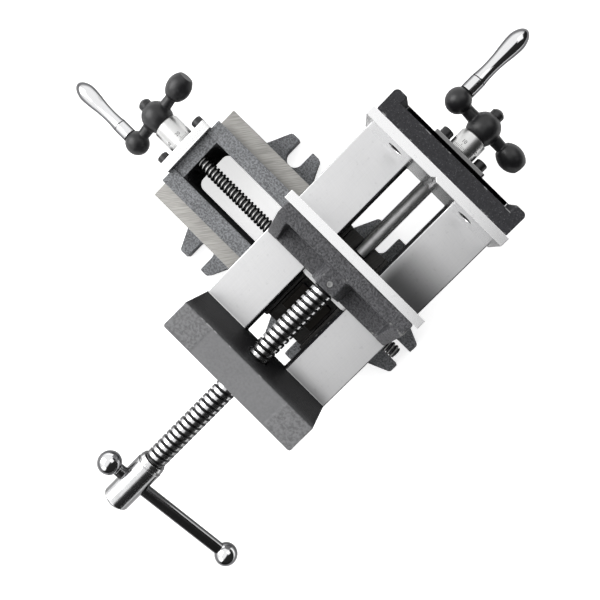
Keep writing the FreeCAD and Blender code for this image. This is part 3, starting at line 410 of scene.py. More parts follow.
def rail_steel(finish, lines, spots, clouds):
    """Ground rails, with painted shadows of the moving jaw and the front block on the right-hand one, and a
    dull wall at the slot's far end.
    """
    across, lengthways, level = finish.along("X"), finish.along("Y"), finish.along("Z")
    rub = finish.streaks((9.0, 1.0, 4.0), 8.0, 3.0)
    shade = lines * 0.35 + rub * 0.2 + clouds * 0.25 + (1 - spots) * 0.2
    steel = finish.tint(shade, scaled(RAIL_STEEL, 0.80), scaled(RAIL_STEEL, 1.14))
    # Painted shadows: the moving jaw's shadow behind it and the front block's shadow near it darken the
    # right-hand rail.
    oil_and_shadow = finish.band(lengthways, JAW_SHADOW_START, JAW_SHADOW_END) * 0.9 + finish.fall(lengthways, *BLOCK_SHADOW_END) * 0.45
    steel = finish.tint(oil_and_shadow * finish.fade(across, centre + 8, centre + 26), steel, PAINTED_SHADE_BLACK)
    below = finish.fall(level, rail_level - 1.2, rail_level - 0.8)
    return finish.tint(below * 0.8, steel, DULL_STEEL)


def body_finish():
    """Enamel that is paler on the front block, ground rails with fine lines along them, and painted shade
    in the slot and on the front block's inner slope.
    """
    finish = Finish("charcoal_enamel_and_ground_rails", {"Specular IOR Level": 0.28})
    across, lengthways, level = finish.along("X"), finish.along("Y"), finish.along("Z")
    front = finish.fall(lengthways, *(body_low.y + reach for reach in BLOCK_SLOPE))
    aside = (across - centre).math("ABSOLUTE")
    smooth = finish.fall(aside, LABEL_HALF - 2.5, LABEL_HALF) * front
    smooth = smooth * finish.fade(level, JAW_TOP - 0.5, JAW_TOP + 0.5)
    cells = finish.grain(1.5, 2.5)
    dots = finish.grain(0.5, 2.0)
    flecks = finish.fade(finish.grain(0.8, 3.0), 0.58, 0.70)
    clouds = finish.grain(26.0, 3.0)
    bare = finish.mark("bare")
    chips = finish.mark("worn") * finish.fade(finish.grain(3.4, 4.0), 0.55, 0.66)
    metal = bare + chips * (1 - bare) * 0.35
    lit = finish.fade(cells + dots * 0.35, 0.45, 0.85)
    paint = finish.tint(front, CHARCOAL, FRONT_GREY)
    deep = finish.tint(front, scaled(CHARCOAL, 0.55), scaled(FRONT_GREY, 0.50))
    enamel = finish.tint(lit * (1 - smooth * 0.7) * 0.7 + 0.3 * clouds + smooth * 0.35, deep, paint)
    enamel = finish.tint(flecks * (1 - front) * 0.5, enamel, FLECK_GREY)
    # Dirt and painted shade blacken the slot's walls, and painted shade blackens the front block's inner
    # slope, which faces away from the lamps.
    in_slot = finish.fall(aside, SLOT_HALF + 0.1, SLOT_HALF + 0.6) * finish.fall(level, *SLOT_RIM)
    in_slot = in_slot * finish.band(lengthways, SLOT_FRONT, SLOT_REAR)
    slope = (1 - front) * finish.fall(lengthways, *SLOPE_END)
    enamel = finish.tint(in_slot * (1 - slope) + slope, enamel, PAINTED_SHADE_BLACK)
    lines = finish.streaks((0.30, 26.0, 4.0), 0.0, 5.0)
    spots = finish.fade(finish.grain(2.6, 5.0), 0.60, 0.74)
    relief = 0.34 * (1 - smooth * 0.9)
    return finish.surface(
        finish.tint(metal, enamel, rail_steel(finish, lines, spots, clouds)),
        finish.shift(metal, 0.52 + dots * 0.14, 0.26 + lines * 0.14 + spots * 0.10),
        metal,
        (cells + dots * 0.4) * relief * (1 - metal) + lines * metal * 0.010,
    )


dress("vise_body", "vise", "dark_paint", "vise_body_casting", BODY_EDGE, body_finish(), body_bare)

# A steel bearing plate closes the end of each slide and carries the lead screw's journal. Both plates
# are sawn from flat bar and ground bright on their edges.
PLATE_EDGE = 0.5
PLATE_STEEL = (0.78, 0.78, 0.78, 1)
# The Y plate is given a much darker steel than the X plate.
DARK_PLATE_STEEL = (0.22, 0.22, 0.22, 1)
for tag, body, angle, steel in (("x", "base", 90, PLATE_STEEL), ("y", "vise", 0, DARK_PLATE_STEEL)):
    plate_finish = ground(f"{tag}_plate_ground_steel", steel, (0.7, 12.0, 8.0), angle, 0.28, 0.005, 0.12)
    dress(f"{tag}_end_plate", body, "plate_steel", f"{tag}_bearing_plate", PLATE_EDGE, plate_finish)

# The two lead screws are turned from steel bar: a trapezoidal thread, a plain journal, a square for the
# crank and a short stud for the cap nut. The X screw is oiled and dark, and the Y screw has a long
# bright shank between its journal and its thread. On both, the crests carry painted highlights and
# the grooves painted shade.
X_CRANK_ANGLE = 18.0
Y_CRANK_ANGLE = 12.0
LEAD_PITCH = 3.0
LEAD_RADIUS = 5.0
LEAD_ROOT = 3.7
JOURNAL_RADIUS = 4.0
SQUARE_HALF = 2.8
STUD_RADIUS = 3.0
STUD_LENGTH = 4.0
HUB_LENGTH = 17.6
PLATE_THICKNESS = 7.0
DIAL_GAP = 0.1
Y_SHANK_LENGTH = 84.0
X_SHANK_LENGTH = 3.0
OILED_AND_SHADED_STEEL = (0.05, 0.05, 0.052, 1)
CREST_HIGHLIGHT_STEEL = (0.40, 0.40, 0.39, 1)
BRIGHT_STEEL = (0.92, 0.92, 0.92, 1)


def turned(degrees, axis):
    return Matrix.Rotation(math.radians(degrees), 4, axis)


def shifted(form, *matrices):
    """The form itself, moved by the product of some matrices."""
    whole = Matrix()
    for matrix in matrices:
        whole = whole @ matrix
    bmesh.ops.transform(form, matrix=whole, verts=form.verts)
    return form


def feed_place(corner, angle_axis, angle, heading):
    """Local X runs along the lead screw away from the slide, from the bearing plate's outer face."""
    facing = turned(angle, angle_axis) @ turned(heading, "Z")
    return Matrix.Translation(corner * MM) @ facing @ Matrix.Scale(MM, 4)


x_plate_low, x_plate_high = span("x_bearing_plate")
y_plate_low, y_plate_high = span("y_bearing_plate")
x_middle, y_middle = (x_plate_low + x_plate_high) / 2, (y_plate_low + y_plate_high) / 2
feeds = {
    "x": feed_place(Vector((x_plate_low.x, x_middle.y, x_middle.z)), "X", X_CRANK_ANGLE, 180),
    "y": feed_place(Vector((y_middle.x, y_plate_high.y, y_middle.z)), "Y", Y_CRANK_ANGLE, 90),
}
dial_lengths = {
    "x": x_plate_low.x - span("x_dial")[0].x,
    "y": span("y_dial")[1].y - y_plate_high.y,
}
hub_starts = {tag: length + DIAL_GAP for tag, length in dial_lengths.items()}
screw_ends = {
    "x": span("x_lead_screw")[1].x - x_plate_low.x,
    "y": y_plate_high.y - span("y_lead_screw")[0].y,
}


def new_tree(name, inputs):
    """A Geometry Nodes tree with named inputs: gives its graph and a wire for each input."""
    tree = bpy.data.node_groups.new(name, "GeometryNodeTree")
    tree.interface.new_socket("Geometry", in_out="INPUT", socket_type="NodeSocketGeometry")
    for label, kind in inputs.items():
        tree.interface.new_socket(label, in_out="INPUT", socket_type=f"NodeSocket{kind}")
    tree.interface.new_socket("Geometry", in_out="OUTPUT", socket_type="NodeSocketGeometry")
    graph = Graph(tree)
    entry = tree.nodes.new("NodeGroupInput")
    return graph, {socket.name: Wire(graph, socket) for socket in entry.outputs if socket.name}


def end_tree(graph, geometry, material):
    """Every tree ends by making its copies real and giving them their material."""
    real = graph.node("GeometryNodeRealizeInstances", None, {0: geometry})
    coloured = graph.node("GeometryNodeSetMaterial", None, {"Geometry": real, "Material": material})
    leave = graph.tree.nodes.new("NodeGroupOutput")
    graph.plug(leave.inputs[0], coloured)


def run_tree(tree, values, mesh=None):
    """The plain mesh that a tree makes of these named values, and of a mesh if it takes one."""
    holder = placed("holder", mesh or bpy.data.meshes.new("holder"))
    modifier = holder.modifiers.new("tree", "NODES")
    modifier.node_group = tree
    for item in tree.interface.items_tree:
        if item.in_out == "INPUT" and item.name in values:
            modifier[item.identifier] = values[item.name]
    made = taken(holder)
    bpy.data.objects.remove(holder)
    return made


def thread_tree():
    """A screw thread along X as one skin.

    It is a sheared grid, and each of its rows keeps one place on the thread's profile.
    """
    graph, given = new_tree("screw_thread", {
        "Pitch": "Float", "Length": "Float", "Crest": "Float", "Root": "Float", "Flank low": "Float",
        "Flank high": "Float", "Rows a turn": "Int", "Around": "Int", "Material": "Material",
    })
    rows = (given["Length"] / given["Pitch"] + 1).math("CEIL")
    row_count = rows * given["Rows a turn"]
    grid = graph.node("GeometryNodeMeshGrid", None, {
        "Size X": 1.0, "Size Y": 1.0, "Vertices X": row_count + 1, "Vertices Y": given["Around"] + 1})
    spot = graph.node("GeometryNodeInputPosition")
    row = (graph.part(spot, "X") + 0.5) * row_count
    share = graph.part(spot, "Y") + 0.5
    turns = row / given["Rows a turn"]
    raw = (turns + share - 1) * given["Pitch"]
    phase = (turns + 0.0001).math("FRACT")
    rise = 1 - (phase * 2 - 1).math("ABSOLUTE")
    flank = graph.node("ShaderNodeMapRange", {"interpolation_type": "SMOOTHSTEP"}, {
        "Value": rise, "From Min": given["Flank low"], "From Max": given["Flank high"],
        "To Min": given["Root"], "To Max": given["Crest"]})
    run_out = given["Root"] + raw.math("MINIMUM", given["Length"] - raw)
    inside = raw.math("GREATER_THAN", -0.001) * raw.math("LESS_THAN", given["Length"] + 0.001)
    radius = flank.math("MINIMUM", run_out) * inside
    reach = raw.math("MAXIMUM", 0.0).math("MINIMUM", given["Length"])
    place = graph.polar(reach, radius, share * math.tau)
    bent = graph.node("GeometryNodeSetPosition", None, {"Geometry": grid, "Position": place})
    joined = graph.node("GeometryNodeMergeByDistance", None, {"Geometry": bent, "Distance": 0.001})
    end_tree(graph, joined, given["Material"])
    return graph.tree


THREAD = thread_tree()


def loft(rings, closed=False):
    """A closed skin through rings of points, in millimetres; a ring of one point is a pole."""
    form = bmesh.new()
    made = [[form.verts.new(spot) for spot in ring] for ring in rings]
    pairs = list(zip(made, made[1:] + made[:1] if closed else made[1:]))
    for first, second in pairs:
        count = max(len(first), len(second))
        for index in range(count):
            corners = [first[index % len(first)], first[(index + 1) % len(first)],
                       second[(index + 1) % len(second)], second[index % len(second)]]
            form.faces.new(list(dict.fromkeys(corners)))
    bmesh.ops.recalc_face_normals(form, faces=form.faces)
    return form


def circle(x, radius, count):
    if radius <= 0:
        return [(x, 0, 0)]
    angles = [math.tau * index / count for index in range(count)]
    return [(x, radius * math.cos(angle), radius * math.sin(angle)) for angle in angles]


def rounded(outline, steps=4):
    """An outline of (along, radius) points, where a third value rounds that corner."""
    smooth = []
    for index, point in enumerate(outline):
        if len(point) == 2:
            smooth.append(point)
            continue
        here = Vector(point[:2])
        before = (Vector(outline[index - 1][:2]) - here).normalized()
        after = (Vector(outline[(index + 1) % len(outline)][:2]) - here).normalized()
        half = before.angle(after) / 2
        reach = point[2] / math.tan(half)
        middle = here + (before + after).normalized() * point[2] / math.sin(half)
        start, end = here + before * reach - middle, here + after * reach - middle
        for step in range(steps + 1):
            smooth.append(tuple(middle + start.slerp(end, step / steps) * point[2]))
    return smooth


def lathe(outline, count=48, closed=False):
    """Turns an outline of (along, radius) points about X."""
    return loft([circle(along, radius, count) for along, radius in rounded(outline)], closed)


def gather(parts, place):
    """Joins skins and meshes that are in millimetres into one skin in metres."""
    whole = bmesh.new()
    for part in parts:
        whole.from_mesh(poured("part", part) if isinstance(part, bmesh.types.BMesh) else part)
    bmesh.ops.recalc_face_normals(whole, faces=whole.faces)
    return shifted(whole, place)


def build(name, parts, place, material, body, slot, node):
    """A piece of skins and meshes in millimetres that stands for a part."""
    piece = settle(name, gather(parts, place), material)
    stand_for(piece, body, slot, node)
    return piece


def on_feed(tag, name, parts, material, slot, node, body="feed"):
    """A piece on the axis of one lead screw."""
    return build(f"{tag}_{name}", parts, feeds[tag], material, f"{tag}_{body}", slot, f"{tag}_{node}")


def screw_finish(name, dark, pale, axis_sizes, crest, dull=0.34):
    """Turned steel with painted highlights on its crests, grooves dark with oil and painted shade, and a
    painted dark reflection along its outline.
    """
    finish = Finish(name, {"Metallic": 1.0})
    rings = finish.streaks(axis_sizes, 0.0, 4.0)
    oil_and_shadow = finish.grain(5.0, 4.0)
    height = finish.mark("crest")
    crest_highlight_and_polish = finish.fade(height, crest - 0.35, crest)
    # Painted light: the crests are painted bright as highlights, the grooves dark as shade, and the outline
    # dark as a reflection.
    colour = finish.tint(crest_highlight_and_polish * (0.65 + oil_and_shadow * 0.35) * (1 - finish.rim(0.30, 0.52)), dark, pale)
    return finish.surface(colour, dull - crest_highlight_and_polish * 0.12 + rings * 0.10 + oil_and_shadow * 0.06, None, rings * 0.01)


def mark_crests(piece, place):
    """Stores each point's distance from the screw's axis, in millimetres."""
    back = place.inverted()
    layer = piece.data.attributes.new("crest", "FLOAT", "POINT")
    for point, vertex in zip(layer.data, piece.data.vertices):
        spot = back @ vertex.co
        point.value = math.hypot(spot.y, spot.z)


for tag, dark, pale, shank, sizes, dull in (
        ("x", OILED_AND_SHADED_STEEL, CREST_HIGHLIGHT_STEEL, X_SHANK_LENGTH, (0.25, 40.0, 40.0), 0.34),
        ("y", OILED_AND_SHADED_STEEL, BRIGHT_STEEL, Y_SHANK_LENGTH, (40.0, 0.25, 40.0), 0.56)):
    hub_start = hub_starts[tag]
    hub_end = hub_start + HUB_LENGTH
    shank_start = -PLATE_THICKNESS - shank
    shoulder = -PLATE_THICKNESS - 0.05
    finish = screw_finish(f"{tag}_screw_steel", dark, pale, sizes, LEAD_RADIUS, dull)
    thread = run_tree(THREAD, {
        "Pitch": LEAD_PITCH, "Length": screw_ends[tag] + shank_start,
        "Crest": LEAD_RADIUS, "Root": LEAD_ROOT, "Flank low": 0.22, "Flank high": 0.62,
        "Rows a turn": 8, "Around": 32, "Material": finish})
    thread.transform(Matrix.Translation((-screw_ends[tag], 0, 0)))
    shaft = lathe([
        (shank_start, 0), (shank_start, LEAD_ROOT), (shank_start + 1, LEAD_RADIUS, 0.4),
        (shoulder, LEAD_RADIUS, 0.3), (shoulder, JOURNAL_RADIUS),
        (hub_start, JOURNAL_RADIUS, 0.3), (hub_start, 0)])
    corners = [(y * SQUARE_HALF, z * SQUARE_HALF) for y, z in ((-1, -1), (1, -1), (1, 1), (-1, 1))]
    sides = [[(x, *corner) for corner in corners] for x in (hub_start, hub_end)]
    drive = loft([[(hub_start, 0, 0)], *sides, [(hub_end, 0, 0)]])
    stud = lathe([(hub_end, 0), (hub_end, STUD_RADIUS), (hub_end + STUD_LENGTH, STUD_RADIUS, 0.4),
                  (hub_end + STUD_LENGTH, 0)], 32)
    screw = on_feed(tag, "feed_screw", [thread, shaft, drive, stud], finish, "screw_steel", "lead_screw")
    mark_crests(screw, feeds[tag])

# A dial on each lead screw is a steel drum, turned and satin plated, with sixty engraved divisions and
# stamped numbers that are filled with black. A small headless screw locks it.
DIAL_RADIUS = 9.8
DIAL_CHAMFER = 0.8
DIAL_STEEL = (0.68, 0.68, 0.675, 1)
INK_BLACK = (0.018, 0.018, 0.02, 1)
DIVISIONS = 60
LONG_EVERY = 5
MARK_WIDTH = 0.22
MARK_THICKNESS = 0.06
SHORT_MARK = 2.2
LONG_MARK = 3.6
NUMBER_HEIGHT = 3.4
NUMBER_GAP = 0.9
NUMBER_STEP = 10


def turned_steel(name, colour, axis_sizes, roughness, stain=0.12):
    """Turned metal with fine rings round its axis."""
    finish = Finish(name, {"Metallic": 1.0})
    rings = finish.streaks(axis_sizes, 0.0, 5.0)
    haze = finish.grain(6.0, 4.0)
    shades = scaled(colour, 1 - stain), scaled(colour, 1 + stain, 0.97)
    return finish.surface(finish.tint(rings * 0.5 + haze * 0.5, *shades),
                          roughness + rings * 0.08 + haze * 0.07, None, rings * 0.006)


def ink(name):
    """Black filler in engraved lines, dull and slightly uneven."""
    finish = Finish(name)
    speck = finish.grain(0.6, 3.0)
    colour = finish.tint(speck, INK_BLACK, scaled(INK_BLACK, 2.2))
    return finish.surface(colour, 0.45 + speck * 0.2, None, speck * 0.01)


def marks_tree():
    """Thin bars round a drum along X, every so many of them longer."""
    graph, given = new_tree("dial_marks", {
        "Count": "Int", "Long every": "Int", "Radius": "Float", "Start": "Float", "Short": "Float",
        "Long": "Float", "Width": "Float", "Thickness": "Float", "Material": "Material",
    })
    index = graph.node("GeometryNodeInputIndex")
    angle = index * math.tau / given["Count"]
    long = 1 - index.math("MODULO", given["Long every"]).math("MINIMUM", 1.0)
    length = given["Short"] + (given["Long"] - given["Short"]) * long
    spot = graph.polar(given["Start"] + length / 2, given["Radius"], angle)
    points = graph.node("GeometryNodePoints", None, {"Count": given["Count"], "Position": spot})
    bar = graph.node("GeometryNodeMeshCube", None, {"Size": (1, 1, 1)})
    size = graph.vector(length, given["Thickness"], given["Width"])
    bars = graph.node("GeometryNodeInstanceOnPoints", None, {
        "Points": points, "Instance": bar, "Rotation": graph.vector(angle), "Scale": size})
    end_tree(graph, bars, given["Material"])
    return graph.tree


def drum_number(text, start, angle, radius):
    """A number wrapped on the drum, to be read with the mark's line upright."""
    letters = bpy.data.curves.new("number", "FONT")
    letters.body = text
    letters.size = NUMBER_HEIGHT
    letters.align_x = "CENTER"
    letters.extrude = MARK_THICKNESS / 2
    letters.resolution_u = 4
    writer = placed("number", letters)
    mesh = taken(writer)
    bpy.data.objects.remove(writer)
    for vertex in mesh.vertices:
        along, across, out = vertex.co.y, vertex.co.x, vertex.co.z
        turn = angle + across / radius
        vertex.co = (start + along, (radius + out) * math.cos(turn), (radius + out) * math.sin(turn))
    return mesh


MARKS = marks_tree()
dial_ink = ink("engraving_ink")
for tag, sizes in (("x", (0.2, 30.0, 30.0)), ("y", (30.0, 0.2, 30.0))):
    length = dial_lengths[tag]
    line_start = DIAL_GAP + DIAL_CHAMFER
    face_radius = DIAL_RADIUS - DIAL_CHAMFER
    drum = lathe([
        (DIAL_GAP, JOURNAL_RADIUS), (DIAL_GAP, face_radius, 0.2), (line_start, DIAL_RADIUS, 0.5),
        (length - DIAL_CHAMFER, DIAL_RADIUS, 0.5), (length, face_radius, 0.2),
        (length, JOURNAL_RADIUS)], 72, True)
    steel = turned_steel(f"{tag}_dial_satin", DIAL_STEEL, sizes, 0.24)
    on_feed(tag, "dial_drum", [drum], steel, "dial_steel", "dial")
    lines = run_tree(MARKS, {
        "Count": DIVISIONS, "Long every": LONG_EVERY, "Radius": DIAL_RADIUS, "Start": line_start,
        "Short": SHORT_MARK, "Long": LONG_MARK, "Width": MARK_WIDTH, "Thickness": MARK_THICKNESS,
        "Material": dial_ink})
    number_start = line_start + LONG_MARK + NUMBER_GAP
    numbers = [drum_number(str(value), number_start, math.tau * value / DIVISIONS, DIAL_RADIUS)
               for value in range(0, DIVISIONS, NUMBER_STEP)]
    scale = settle(f"{tag}_dial_scale", gather([lines, *numbers], feeds[tag]), dial_ink)
    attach(scale, f"{tag}_feed")

# Each crank is one iron forging: a rounded hub, two tapered arms, a ball for the handle and an egg-shaped
# counterweight. It is finished in satin black.
ARM_OFFSET = 8.4
HUB_START_RADIUS = 8.3
HUB_RADIUS = 10.8
HUB_END_RADIUS = 5.5
ARM_ROOT = 4.75
ARM_TIP = 3.75
BALL_RADIUS = 8.6
HANDLE_RADIUS = 24.7
WEIGHT_RADIUS = 26.3
WEIGHT_HALF = 9.0
WEIGHT_SWELL = 8.5
WEIGHT_END = 5.0
CRANK_VOXEL = 0.42
SATIN_BLACK = (0.012, 0.012, 0.013, 1)


def ball(centre_spot, radius, count=40):
    """A sphere in millimetres, with its poles along X."""
    rings = []
    for step in range(count // 2 + 1):
        angle = math.pi * step / (count // 2)
        x = centre_spot[0] - radius * math.cos(angle)
        ring = circle(x, radius * math.sin(angle) if 0 < step < count // 2 else 0, count)
        rings.append([(spot[0], spot[1] + centre_spot[1], spot[2] + centre_spot[2]) for spot in ring])
    return loft(rings)


def bulge(start, top, end, start_radius, top_radius, end_radius, steps=12):
    """Outline of an egg or barrel: one arc rises to its widest level and another falls from it."""
    spots = [(start, 0)]
    for low, high, edge, fixed in ((start, top, start_radius, top), (top, end, end_radius, top)):
        reach, rise = high - low, top_radius - edge
        arc = (reach * reach + rise * rise) / (2 * rise)
        for step in range(steps + 1):
            along = low + reach * step / steps
            spots.append((along, top_radius - arc + math.sqrt(arc * arc - (along - fixed) ** 2)))
    return list(dict.fromkeys(spots)) + [(end, 0)]


def crank_skin(hub_start):
    """Hub, arms, ball and weight as one skin that flows together where they meet."""
    arm = hub_start + ARM_OFFSET
    across = Matrix.Translation((arm, 0, 0)), turned(90, "Z")
    hub = bulge(hub_start, arm, hub_start + HUB_LENGTH, HUB_START_RADIUS, HUB_RADIUS, HUB_END_RADIUS)
    parts = [lathe(hub)]
    for way in (1, -1):
        reach = HANDLE_RADIUS if way > 0 else WEIGHT_RADIUS - WEIGHT_HALF + 1
        bar = lathe([(0, 0), (0, ARM_ROOT), (way * reach, ARM_TIP), (way * reach, 0)], 32)
        parts.append(shifted(bar, *across))
    weight = bulge(-WEIGHT_RADIUS - WEIGHT_HALF, -WEIGHT_RADIUS, -WEIGHT_RADIUS + WEIGHT_HALF,
                   WEIGHT_END, WEIGHT_SWELL, WEIGHT_END)
    parts.append(shifted(lathe(weight), *across))
    parts.append(ball((arm, HANDLE_RADIUS, 0), BALL_RADIUS))
    return gather(parts, Matrix())


def flow(name, form, voxel, rounds):
    """One skin round overlapping skins, in millimetres, with its inner corners softened."""
    shell = placed(name, poured(name, form))
    remesh = shell.modifiers.new("skin", "REMESH")
    remesh.mode = "VOXEL"
    remesh.voxel_size = voxel
    soften = shell.modifiers.new("soften", "SMOOTH")
    soften.factor = 0.5
    soften.iterations = rounds
    flowed = taken(shell)
    bpy.data.objects.remove(shell)
    return flowed


def satin_black():
    """Baked black enamel: satin, with a fine orange peel and rubbed high spots."""
    finish = Finish("satin_black_enamel", {"Specular IOR Level": 0.5, "Coat Roughness": 0.3})
    peel = finish.grain(0.9, 2.0)
    dust = finish.grain(4.0, 5.0)
    rubbed = finish.fade(dust, 0.58, 0.75)
    colour = finish.tint(rubbed * 0.6 + peel * 0.2, SATIN_BLACK, scaled(SATIN_BLACK, 2.4))
    return finish.surface(colour, 0.34 + peel * 0.08 + rubbed * 0.14, None, peel * 0.02)


black_enamel = satin_black()
for tag in ("x", "y"):
    skin = flow(f"{tag}_crank_skin", crank_skin(hub_starts[tag]), CRANK_VOXEL, 5)
    on_feed(tag, "ball_crank", [skin], black_enamel, "black_finish", "crank")

# A small domed cap nut, blackened, holds each crank on the end of its lead screw.
CAP_RADIUS = 4.7
CAP_LENGTH = 6.0
CAP_DOME = 2.6
BLACKED_STEEL = (0.020, 0.020, 0.021, 1)


def blackened(name):
    """Black oxide on steel, rubbed grey in patches."""
    finish = Finish(name, {"Specular IOR Level": 0.6})
    haze = finish.grain(1.4, 4.0)
    rub = finish.fade(finish.grain(3.0, 4.0), 0.55, 0.7)
    colour = finish.tint(rub * 0.5 + haze * 0.3, BLACKED_STEEL, scaled(BLACKED_STEEL, 2.6))
    return finish.surface(colour, 0.28 + haze * 0.14, 0.35 + rub * 0.3, haze * 0.008)


black_oxide = blackened("black_oxide_steel")
for tag in ("x", "y"):
    hub_end = hub_starts[tag] + HUB_LENGTH
    dome_arc = (CAP_RADIUS ** 2 + CAP_DOME ** 2) / (2 * CAP_DOME)
    dome = [(hub_end + CAP_LENGTH - CAP_DOME, CAP_RADIUS)]
    for step in range(1, 9):
        radius = CAP_RADIUS * math.cos(math.pi / 2 * step / 8)
        level = hub_end + CAP_LENGTH - dome_arc + math.sqrt(dome_arc ** 2 - radius ** 2)
        dome.append((level, max(radius, 0)))
    dome[-1] = (hub_end + CAP_LENGTH, 0)
    cap = lathe([(hub_end, 0), (hub_end, CAP_RADIUS, 0.4), *dome], 40)
    on_feed(tag, "domed_nut", [cap], black_oxide, "black_finish", "cap_nut")

# Each crank handle is a chromed steel grip that turns freely on a stem; the stem screws into the ball.
COLLAR_RADIUS = 5.25
COLLAR_END = 17.3
STEM_RADIUS = 3.0
STEM_DEPTH = 3.0
PIN_RADIUS = 2.75
PIN_END = 50.0
GRIP_START = 17.5
GRIP_STATIONS = (
    (17.5, 5.25), (21.0, 4.85), (25.5, 4.6), (30.0, 4.62), (36.0, 5.05), (42.0, 5.85),
    (47.5, 6.38), (51.5, 6.30), (55.0, 5.35), (57.6, 3.9), (59.2, 2.3))
GRIP_END = 60.0
CHROME = (0.84, 0.84, 0.85, 1)
PAINTED_RIM_REFLECTION = (0.10, 0.10, 0.105, 1)


def spline(stations, steps=5):
    """Points on a smooth curve through stations, for long curved outlines."""
    spots = [Vector(station) for station in stations]
    smooth = []
    for index in range(len(spots) - 1):
        before = spots[max(index - 1, 0)]
        start, end = spots[index], spots[index + 1]
        after = spots[min(index + 2, len(spots) - 1)]
        for step in range(steps):
            t = step / steps
            smooth.append(tuple(0.5 * ((2 * start) + (end - before) * t
                                       + (2 * before - 5 * start + 4 * end - after) * t * t
                                       + (3 * start - before - 3 * end + after) * t * t * t)))
    return smooth + [tuple(spots[-1])]


def plated(name, colour, roughness=0.07):
    """Polished chrome with faint buffing haze, and a painted dark reflection where it turns away from the
    eye.
    """
    finish = Finish(name, {"Metallic": 1.0})
    haze = finish.grain(7.0, 4.0)
    fine = finish.grain(0.8, 3.0)
    face = finish.tint(haze, scaled(colour, 0.93), colour)
    # The outline is painted dark as a reflection of the dark room.
    return finish.surface(finish.tint(finish.rim(0.22, 0.46), face, PAINTED_RIM_REFLECTION),
                          roughness + haze * 0.05 + fine * 0.03, None, fine * 0.002)


handle_chrome = plated("polished_chrome", CHROME)
for tag in ("x", "y"):
    arm = hub_starts[tag] + ARM_OFFSET
    seat = BALL_RADIUS - 1.0
    offset = Matrix.Translation((arm, HANDLE_RADIUS, 0))
    stem = lathe([(-STEM_DEPTH, 0), (-STEM_DEPTH, STEM_RADIUS), (seat, STEM_RADIUS), (seat, COLLAR_RADIUS),
                  (COLLAR_END, COLLAR_RADIUS, 0.5), (COLLAR_END, PIN_RADIUS), (PIN_END, PIN_RADIUS, 0.5),
                  (PIN_END, 0)])
    on_feed(tag, "stem", [shifted(stem, offset)], handle_chrome, "chrome", "handle_stem")
    bore = [(PIN_END + 0.4, 0), (PIN_END + 0.4, PIN_RADIUS + 0.1), (GRIP_START, PIN_RADIUS + 0.1)]
    lip = [(GRIP_START, COLLAR_RADIUS - 0.5), (GRIP_START + 0.15, COLLAR_RADIUS - 0.12)]
    grip = lathe(bore + lip + spline(GRIP_STATIONS)[1:] + [(GRIP_END - 0.2, 1.1), (GRIP_END, 0)])
    on_feed(tag, "grip", [shifted(grip, offset)], handle_chrome, "chrome", "handle_grip", "grip")

# The moving jaw is an iron casting with a web, a foot, gussets at its ends and a boss round the end of
# the main screw. It has the same hammered enamel as the base, and its foot is milled.
JAW_EDGE = 1.3
JAW_GREY = (0.072, 0.072, 0.077, 1)
JAW_IRON = (0.42, 0.42, 0.41, 1)


def jaw_bare(middle, normal):
    """The seat of its plate and the foot that slides on the rails are ground."""
    return normal.y > 0.95 or normal.z < -LEVEL or middle.z < rail_level - 0.5


jaw_enamel = hammered("jaw_hammer_enamel", JAW_GREY, JAW_IRON, 20, 0.80)
dress("moving_jaw", "moving_jaw", "dark_paint", "moving_jaw_casting", JAW_EDGE, jaw_enamel, jaw_bare)

# A ground steel keeper under the rails holds the moving jaw down.
KEEPER_EDGE = 0.5
keeper_steel = ground("keeper_ground_steel", PLATE_STEEL, (12.0, 0.35, 4.0))
dress("jaw_keeper", "moving_jaw", "plate_steel", "keeper_plate", KEEPER_EDGE, keeper_steel)

# The jaw plates are hardened steel, surface ground all over. The fixed one has an upright V-groove for
# round bar.
JAW_PLATE_EDGE = 0.3
GROUND_STEEL = (0.90, 0.90, 0.905, 1)
plate_finish = ground("jaw_ground_steel", GROUND_STEEL, (18.0, 0.8, 6.0), 0.0, 0.24, 0.003, 0.06)
for label, body in (("fixed", "vise"), ("moving", "moving_jaw")):
    dress(f"{label}_plate", body, "jaw_steel", f"{label}_jaw_plate", JAW_PLATE_EDGE, plate_finish)

# The main screw is a plated steel bar with a trapezoidal thread, a journal held in the moving jaw and a
# turned head that is drilled across for the handle bar.
BAR_ANGLE = 15.0
MAIN_PITCH = 4.0
MAIN_RADIUS = 7.0
MAIN_ROOT = 5.5
MAIN_JOURNAL = 4.5
MAIN_JOURNAL_LENGTH = 17.5
NECK_START = -7.0
NECK_END = -2.4
NECK_RADIUS = 3.3
MAIN_THREAD_LENGTH = 147.3
HEAD_RADIUS = 9.0
HEAD_RING = 2.6
BAR_HOLE_PLACE = 19.0
BAR_RADIUS = 4.0
PLATED_DARK = (0.14, 0.14, 0.142, 1)
PLATED_STEEL = (0.82, 0.82, 0.83, 1)
main_low, main_high = span("main_screw")
main_start = Vector((centre, main_high.y - MAIN_JOURNAL_LENGTH, (main_low.z + main_high.z) / 2))
main_place = feed_place(main_start, "Y", BAR_ANGLE, -90)
main_finish = screw_finish("plated_thread", PLATED_DARK, PLATED_STEEL, (40.0, 0.3, 40.0), MAIN_RADIUS, 0.25)
main_thread = run_tree(THREAD, {
    "Pitch": MAIN_PITCH, "Length": MAIN_THREAD_LENGTH, "Crest": MAIN_RADIUS, "Root": MAIN_ROOT,
    "Flank low": 0.08, "Flank high": 0.52, "Rows a turn": 12, "Around": 48, "Material": main_finish})
journal = lathe([
    (-MAIN_JOURNAL_LENGTH, 0), (-MAIN_JOURNAL_LENGTH, MAIN_JOURNAL, 0.8), (NECK_START, MAIN_JOURNAL),
    (NECK_START, NECK_RADIUS), (NECK_END, NECK_RADIUS), (NECK_END, MAIN_JOURNAL),
    (0.5, MAIN_JOURNAL), (0.5, 0)])
head_end = main_high.y - main_low.y - MAIN_JOURNAL_LENGTH
